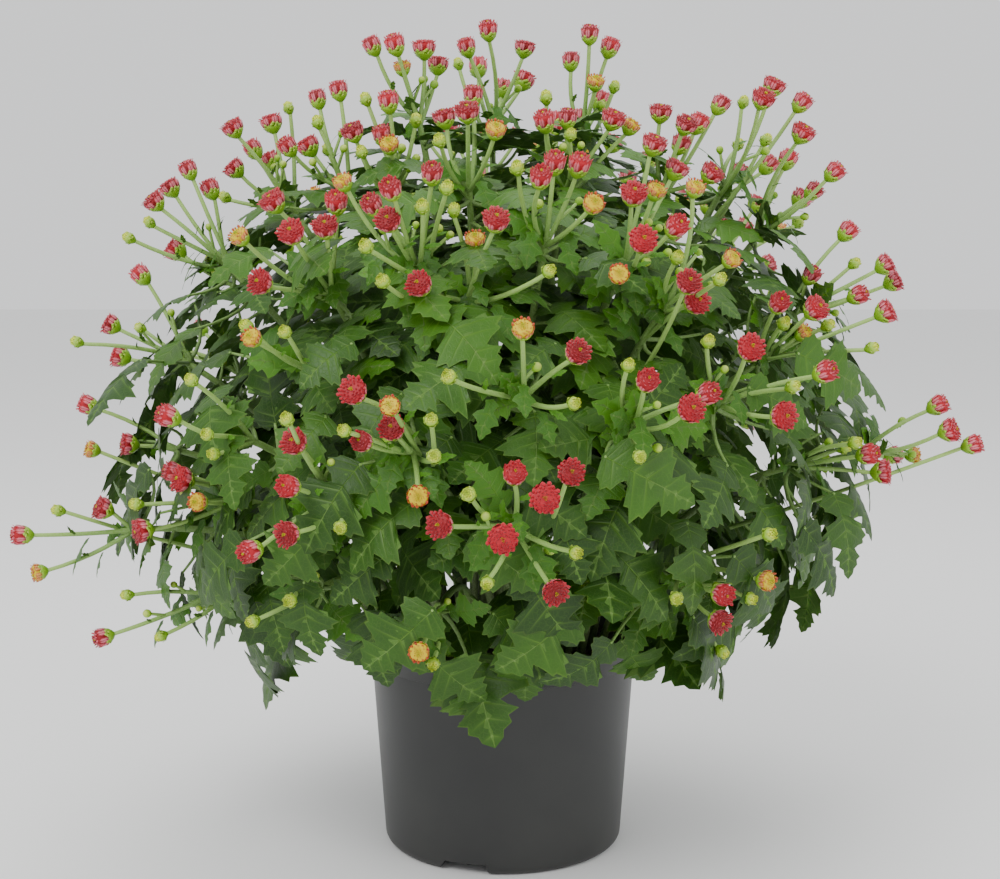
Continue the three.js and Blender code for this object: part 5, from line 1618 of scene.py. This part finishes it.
def plan_spray(spray):
    plan, stem, owner = Plan(), spray["stem"], spray["owner"]
    plan.line([bezier(stem, i / STEM_STEPS) for i in range(STEM_STEPS + 1)],
        (STEM_ROOT_RADIUS, STEM_END_RADIUS), (0.0, 0.6))
    for head in spray["heads"]:
        part = head["part"]
        if "line" not in head:
            loose_stalk(spray, head)
        path = curved(head["line"], 6)
        plan.line(path, (STALK_RADIUS * 1.15, STALK_RADIUS * 0.92), (0.6, 1.0))
        tip = plus(path[-1], times(head["facing"], 2.5))
        plan.line([path[-1], tip], (STALK_RADIUS * 0.92, STALK_RADIUS * 1.5), (1.0, 1.0))
        plan.head(head, chance(owner, part, 61))
        # a bract leaf at the foot of the stalk
        start, reach = path[0], size(minus(path[-1], path[0]))
        way = unit(minus(path[2], path[0]))
        aside = unit(cross(way, (chance(owner, part, 62) - 0.5, 0.4, 0.7)))
        along = unit(plus(times(way, 0.7), aside))
        length = min(reach * 0.8, between(YOUNG_LENGTHS, chance(owner, part, 63)))
        small = leaf_from(start, along, outward(start), length, 2)
        plan.leaf(small, YOUNG_SHAPES[part % 2], chance(owner, part, 64), 0.55)
        if reach > TINY_LEAF_REACH:
            middle = path[3]
            along = unit(minus(times(way, 0.8), aside))
            tiny = leaf_from(middle, along, outward(middle), between(TINY_LENGTHS,
                chance(owner, part, 65)), 0.5)
            plan.leaf(tiny, BRACT_SHAPE, 0.5, 0.7)
        if reach > LONG_STALK:
            along = unit(plus(times(way, 0.6), times(UP, -0.9)))
            hung = leaf_from(path[2], along, outward(path[2]), between(HUNG_LENGTHS,
                chance(owner, part, 70)), 3)
            plan.leaf(hung, YOUNG_SHAPES[0], 0.3, 0.4)
        if reach > SIDE_BUD_REACH and chance(owner, part, 67) < SIDE_BUD_SHARE:
            bud_way = unit(minus(plus(times(way, 0.9), times(UP, 0.2)), times(aside, 0.8)))
            end = plus(path[2], times(bud_way, between(SIDE_BUD_LENGTHS,
                chance(owner, part, 68))))
            plan.line(curved([path[2], end], 3), (STALK_RADIUS * 0.8, STALK_RADIUS * 0.7),
                (0.7, 1.0))
            plan.put(plus(end, times(bud_way, 2.6)), face=bud_way, grow=cross(bud_way, along),
                     shape=HEAD_SHAPES["g"], length=0.85 + 0.4 * chance(owner, part, 69))
    for number, leaf in enumerate(spray["leaves"]):
        base = leaf_point(leaf, 0, 0)
        plan.line([leaf["start"], toward(leaf["start"], base, 0.5),
            plus(base, times(leaf["along"], 3))], (PETIOLE_RADIUS * 1.1, PETIOLE_RADIUS * 0.7),
            (0.4, 0.6))
        plan.leaf(leaf, FIRST_LEAF_SHAPE + number % LEAF_SHAPES, chance(owner, number, 66), 0.12)
    for number, (leaf, tone, young) in enumerate(stem_leaves(spray)):
        base = leaf_point(leaf, 0, 0)
        plan.line([leaf["start"], toward(leaf["start"], base, 0.5),
            plus(base, times(leaf["along"], 2))], (PETIOLE_RADIUS, PETIOLE_RADIUS * 0.6),
            (0.4, 0.6))
        plan.leaf(leaf, FIRST_LEAF_SHAPE + (number + owner) % LEAF_SHAPES, tone, young)
    for number, (leaf, start, home, tone, young) in enumerate(fill):
        if home is not spray:
            continue
        bend = plus(toward(start, leaf["start"], 0.5), times(outward(leaf["start"]), -6))
        plan.line(curved([start, bend, plus(leaf["start"], times(leaf["along"], 2))], 5),
                  (PETIOLE_RADIUS * 1.2, PETIOLE_RADIUS * 0.6), (0.35, 0.6))
        plan.leaf(leaf, FIRST_LEAF_SHAPE + number % LEAF_SHAPES, tone, young)
    return plan


ATTRIBUTE_KINDS = {"thick": ("FLOAT", "value"), "is_line": ("BOOLEAN", "value"),
    "face": ("FLOAT_VECTOR", "vector"), "grow": ("FLOAT_VECTOR", "vector"),
    "shape": ("INT", "value"), "length": ("FLOAT", "value"), "tone": ("FLOAT", "value"),
    "young": ("FLOAT", "value")}
STALK_SIDES = 7


def build_spray(spray):
    plan = plan_spray(spray)
    name = "leafy_" + spray["name"]
    mesh = bpy.data.meshes.new(name)
    mesh.from_pydata(plan.points, plan.edges, [])
    for key, (kind, field) in ATTRIBUTE_KINDS.items():
        layer = mesh.attributes.new(key, kind, "POINT")
        layer.data.foreach_set(field, np.array(plan.values[key]).ravel())
    holder = bpy.data.objects.new(name, mesh)
    bpy.context.collection.objects.link(holder)
    piece = run_tree(holder, leafy_stem, name, Shapes=shapes, Stem_sides=STALK_SIDES,
                     Stem_finish=stem_skin)
    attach(piece, "root")
    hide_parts("stem_" + spray["name"])
    return piece


triangles = 0
most = (0, "")
for spray in sprays:
    piece = build_spray(spray)
    count = sum(len(f.vertices) - 2 for f in piece.data.polygons)
    triangles += count
    most = max(most, (count, piece.name))
print("leafy stems", len(sprays), "with", triangles, "triangles, the largest", most)
for piece in list(shapes.objects):
    bpy.data.objects.remove(piece)

# %% [markdown]
# ## The pot
# A nursery pot is blow moulded or thermoformed from polypropylene: a thin tapered wall, a flared
# lip with a rolled edge, a small step where pots stack, and a foot ring with notches that let
# water out. The wall is turned on a lathe from one closed profile. The notches and the drain
# holes are then cut with a Boolean modifier, because they cross the profile.

# %% The profile of the pot, in millimetres
COLLAR_Z = 118.5
COLLAR_RADIUS = 84.5
COLLAR_STEP = 1.2
BASE_RADIUS = 75.5
BASE_ROUNDING = 6
LIP_THICKNESS = 1.8
WALL = 2.2
FOOT_HEIGHT = 7.5
FOOT_WIDTH = 4.5
FLOOR_TOP = FOOT_HEIGHT + 2.6
POT_SIDES = 160


def arc(centre, radius, first, last, steps):
    """Points on an arc, with angles in degrees."""
    angles = [math.radians(first + (last - first) * i / steps) for i in range(steps + 1)]
    return [(centre[0] + radius * math.cos(a), centre[1] + radius * math.sin(a)) for a in angles]


def wall_line(first, last, steps):
    return [tuple(between(pair, i / steps) for pair in zip(first, last)) for i in range(1, steps)]


foot_inside = BASE_RADIUS - BASE_ROUNDING - FOOT_WIDTH
lip_middle = LIP_RADIUS - 1.6
outer_low, outer_high = (BASE_RADIUS, BASE_ROUNDING), (COLLAR_RADIUS - COLLAR_STEP, COLLAR_Z)
inner_high, inner_low = (COLLAR_RADIUS - WALL, COLLAR_Z + 2.4), (BASE_RADIUS - WALL, FLOOR_TOP + 2)
profile = (
    [(0, FOOT_HEIGHT), (foot_inside - 0.6, FOOT_HEIGHT), (foot_inside, FOOT_HEIGHT - 0.6),
     (foot_inside + 0.8, 0.6), (foot_inside + 1.4, 0)]
    + arc((BASE_RADIUS - BASE_ROUNDING, BASE_ROUNDING), BASE_ROUNDING, -90, 0, 6)
    + wall_line(outer_low, outer_high, 8)
    + [outer_high, (COLLAR_RADIUS - 0.3, COLLAR_Z + 0.4), (COLLAR_RADIUS, COLLAR_Z + 1.0)]
    + wall_line((COLLAR_RADIUS, COLLAR_Z + 1.0), (LIP_RADIUS - 1.4, POT_HEIGHT - 3.6), 3)
    + [(LIP_RADIUS - 1.4, POT_HEIGHT - 3.6)]
    + arc((lip_middle, POT_HEIGHT - 1.6), 1.6, -40, 160, 8)
    + [(LIP_RADIUS - LIP_THICKNESS - 1.6, POT_HEIGHT - 2.2)]
    + wall_line((LIP_RADIUS - LIP_THICKNESS - 1.6, POT_HEIGHT - 2.2), inner_high, 3)
    + [inner_high] + wall_line(inner_high, inner_low, 5) + [inner_low]
    + [(BASE_RADIUS - WALL - 0.8, FLOOR_TOP + 0.5), (BASE_RADIUS - WALL - 2, FLOOR_TOP),
       (0, FLOOR_TOP)])
print("pot profile", len(profile), "points")

# %% [markdown]
# ### Polypropylene
# A fine grain and slow flow marks, with a little dust low down.

# %% Material: moulded polypropylene
# Polypropylene, moulded: satin anthracite with a grain of about half a millimetre, and a breath
# of dried water and dust toward the foot.
def pot_material():
    material, tree, skin = new_material("polypropylene_moulded_anthracite")
    coords = add(tree, "ShaderNodeTexCoord").outputs["Object"]
    height = add(tree, "ShaderNodeSeparateXYZ", {"Vector": coords}).outputs["Z"]
    grain = add(tree, "ShaderNodeTexNoise", {"Vector": coords}, Scale=1 / (0.55 * MM), Detail=2)
    flow = add(tree, "ShaderNodeTexNoise", {"Vector": coords}, Scale=1 / (60 * MM), Detail=4)
    foot = add(tree, "ShaderNodeMath", (1, add(tree, "ShaderNodeMath", (height, 50 * MM),
        operation="DIVIDE")), operation="SUBTRACT", use_clamp=True)
    dust = add(tree, "ShaderNodeMath", (add(tree, "ShaderNodeMath",
        (flow.outputs["Fac"], 0.8, -0.2), operation="MULTIPLY_ADD"),
        add(tree, "ShaderNodeMath", (foot, 0.22, 0.05), operation="MULTIPLY_ADD")),
        operation="MULTIPLY", use_clamp=True)
    plastic = add(tree, "ShaderNodeValToRGB", {"Fac": flow.outputs["Fac"]},
        ((0.3, "212222"), (0.7, "292a29")))
    add(tree, skin, {"Base Color": add(tree, "ShaderNodeMix", {0: dust, 6: plastic, 7: "67645c"},
        data_type="RGBA").outputs[2], "Roughness": add(tree, "ShaderNodeMath",
        (flow.outputs["Fac"], 0.16, add(tree, "ShaderNodeMath", (dust, 0.4, 0.36),
        operation="MULTIPLY_ADD")), operation="MULTIPLY_ADD")})
    bump = add(tree, "ShaderNodeBump", {"Height": grain.outputs["Fac"]}, Strength=0.35,
               Distance=0.12 * MM)
    add(tree, skin, {"Normal": bump.outputs["Normal"]}, IOR=1.49)
    return material


# %% [markdown]
# ### Notches and drain holes
# Prisms and short cylinders are cut from the turned pot.

# %% Turn the pot and cut its notches and holes
NOTCH_COUNT = 3
NOTCH_WIDTH = 27
NOTCH_SLANT = 5
NOTCH_HEIGHT = 7
NOTCH_AZIMUTH = -108
DRAIN_RADIUS = 5.5
DRAIN_CENTRE = 58
SHARP_ANGLE = 35

pot = lathe_mesh("pot_turned", profile, POT_SIDES, pot_material())
cutters = []


def cutter(name, outline, near, far, turn):
    """A straight prism along X, from an outline of (y, z) pairs, turned about the pot's axis."""
    count = len(outline)
    points = [(x * MM, y * MM, z * MM) for x in (near, far) for y, z in outline]
    faces = [tuple(range(count))[::-1], tuple(range(count, 2 * count))]
    faces += [(k, (k + 1) % count, (k + 1) % count + count, k + count) for k in range(count)]
    shape = mesh_object(name, points, faces)
    shape.data.transform(Matrix.Rotation(turn, 4, "Z"))
    cutters.append(shape)
    return shape


for number in range(NOTCH_COUNT):
    turn = math.radians(NOTCH_AZIMUTH + 360 * number / NOTCH_COUNT)
    cutter(f"notch_{number}", ((-NOTCH_WIDTH / 2 - NOTCH_SLANT, -1), (NOTCH_WIDTH / 2 + 1, -1),
                               (NOTCH_WIDTH / 2, NOTCH_HEIGHT), (-NOTCH_WIDTH / 2, NOTCH_HEIGHT)),
           BASE_RADIUS - 20, BASE_RADIUS + 10, turn)
    hole = lathe_mesh(f"drain_{number}", ((0, 2), (DRAIN_RADIUS, 2), (DRAIN_RADIUS, 15), (0, 15)),
        24, None)
    middle = turn + math.pi / NOTCH_COUNT
    hole.data.transform(Matrix.Translation((DRAIN_CENTRE * MM * math.cos(middle),
                                            DRAIN_CENTRE * MM * math.sin(middle), 0)))
    cutters.append(hole)
for shape in cutters:
    cut = pot.modifiers.new("cut", "BOOLEAN")
    cut.operation = "DIFFERENCE"
    cut.solver = "EXACT"
    cut.object = shape
pot = plain(pot, "nursery_pot")
for shape in cutters:
    bpy.data.objects.remove(shape)
pot.data.shade_smooth()
pot.data.set_sharp_from_angle(angle=math.radians(SHARP_ANGLE))
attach(pot, "root")
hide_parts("pot")
print("pot faces", len(pot.data.polygons), "wide", round(max(v.co.x
    for v in pot.data.vertices) * 2 / MM, 1))

# %% [markdown]
# ## The soil
# Potting soil is dark milled peat with crumbs a few millimetres across. The plug is turned like
# the pot, its top is pushed up and down a little, and Geometry Nodes scatter crumbs over it.

# %% The plug of soil
SOIL_GAP = 0.3
SOIL_LUMP = 1.6
CRUMB_SIZES = (0.8, 2.6)
CRUMB_COUNT = 900
CRUMB_FLATTEN = (0.7, 0.8)
LONG_WAVES = (210, 170)
SHORT_WAVES = (460, 390)
SOIL_RINGS = 14
SOIL_SIDES = 72
SURFACE_DIP = 2.5

soil_edge = between((COLLAR_RADIUS - WALL, LIP_RADIUS - LIP_THICKNESS - 1.2),
                    (SOIL_TOP - COLLAR_Z - 2.4) / (POT_HEIGHT - 0.9 - COLLAR_Z - 2.4)) - SOIL_GAP
soil_low = BASE_RADIUS - WALL - 1.6 - SOIL_GAP


def soil_material():
    # Peat, milled: matt dark brown crumbs with lighter fibres.
    material, tree, skin = new_material("peat_milled_brown")
    coords = add(tree, "ShaderNodeTexCoord").outputs["Object"]
    clods = add(tree, "ShaderNodeTexNoise", {"Vector": coords}, Scale=1 / (4 * MM), Detail=5)
    base = add(tree, "ShaderNodeValToRGB", {"Fac": clods.outputs["Fac"]},
        ((0.3, "1d130c"), (0.55, "3a2a1e"), (0.75, "5b4631")))
    add(tree, skin, {"Base Color": base})
    bump = add(tree, "ShaderNodeBump", {"Height": clods.outputs["Fac"]}, Strength=0.9,
               Distance=1.0 * MM)
    add(tree, skin, {"Normal": bump.outputs["Normal"]}, Roughness=0.95)
    return material


peat = soil_material()
soil = lathe_mesh("soil_turned", [(0, FLOOR_TOP + SOIL_GAP), (soil_low, FLOOR_TOP + SOIL_GAP),
    (soil_low + 1.2, FLOOR_TOP + 2.5), (COLLAR_RADIUS - WALL - SOIL_GAP, COLLAR_Z + 2.4)]
    + [(soil_edge * (1 - i / SOIL_RINGS), SOIL_TOP) for i in range(SOIL_RINGS + 1)], SOIL_SIDES,
    peat)
for vertex in soil.data.vertices:
    if vertex.co.z > (SOIL_TOP - 0.5) * MM:
        wave = (math.sin(vertex.co.x * LONG_WAVES[0]) * math.cos(vertex.co.y * LONG_WAVES[1] + 1)
                + 0.6 * math.sin(vertex.co.x * SHORT_WAVES[0] + vertex.co.y * SHORT_WAVES[1]))
        vertex.co.z += SOIL_LUMP * 0.6 * MM * wave
soil.data.shade_smooth()
print("soil plug", round(2 * soil_edge, 1), "mm across")

# %% [markdown]
# ### Crumbs
# Small flattened balls lie over the top of the plug at random, from a fixed seed.

# %% Crumbs over the soil
def crumb_tree():
    tree, given = new_tree("soil_crumbs", ("Geometry", ["Soil"]),
                           ("Float", ["Density", "Smallest", "Largest", "Surface height"]),
                           ("Material", ["Finish"]), ("Int", ["Seed"]))
    where = add(tree, "ShaderNodeSeparateXYZ", {"Vector": add(tree, "GeometryNodeInputPosition")})
    on_top = add(tree, "ShaderNodeMath", (where.outputs["Z"], given["Surface height"]),
        operation="GREATER_THAN")
    scatter = add(tree, "GeometryNodeDistributePointsOnFaces", {
        "Mesh": given["Soil"], "Selection": on_top, "Seed": given["Seed"]})
    tree.links.new(given["Density"], scatter.inputs["Density"])
    ball = add(tree, "GeometryNodeMeshIcoSphere", Radius=1.0, Subdivisions=1)
    size_draw = add(tree, "FunctionNodeRandomValue", {"Seed": given["Seed"]}, data_type="FLOAT")
    tree.links.new(given["Smallest"], size_draw.inputs[2])
    tree.links.new(given["Largest"], size_draw.inputs[3])
    turn_draw = add(tree, "FunctionNodeRandomValue", {"Seed": given["Seed"]},
                    data_type="FLOAT_VECTOR")
    turn_draw.inputs[1].default_value = (math.tau, math.tau, math.tau)
    turn = add(tree, "FunctionNodeEulerToRotation", {"Euler": turn_draw})
    flat = add(tree, "ShaderNodeCombineXYZ", {"X": size_draw.outputs[1],
        "Y": add(tree, "ShaderNodeMath", (size_draw.outputs[1], CRUMB_FLATTEN[0]),
        operation="MULTIPLY"), "Z": add(tree, "ShaderNodeMath",
        (size_draw.outputs[1], CRUMB_FLATTEN[1]), operation="MULTIPLY")})
    placed = add(tree, "GeometryNodeInstanceOnPoints", {"Points": scatter.outputs["Points"],
        "Instance": ball, "Rotation": turn, "Scale": flat})
    joined = add(tree, "GeometryNodeJoinGeometry")
    tree.links.new(placed.outputs[0], joined.inputs[0])
    tree.links.new(given["Soil"], joined.inputs[0])
    real = add(tree, "GeometryNodeRealizeInstances", {"Geometry": joined})
    finish = add(tree, "GeometryNodeSetMaterial", {"Geometry": real, "Material": given["Finish"]})
    add(tree, "NodeGroupOutput", {"Geometry": finish})
    return tree


CRUMB_SEED = 5

soil = run_tree(soil, crumb_tree(), "potting_soil",
                Density=CRUMB_COUNT / (math.pi * (soil_edge * MM) ** 2),
                Smallest=CRUMB_SIZES[0] * MM / 2, Largest=CRUMB_SIZES[1] * MM / 2,
                Surface_height=(SOIL_TOP - SURFACE_DIP) * MM, Finish=peat, Seed=CRUMB_SEED)
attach(soil, "root")
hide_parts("soil")
print("soil faces", len(soil.data.polygons))
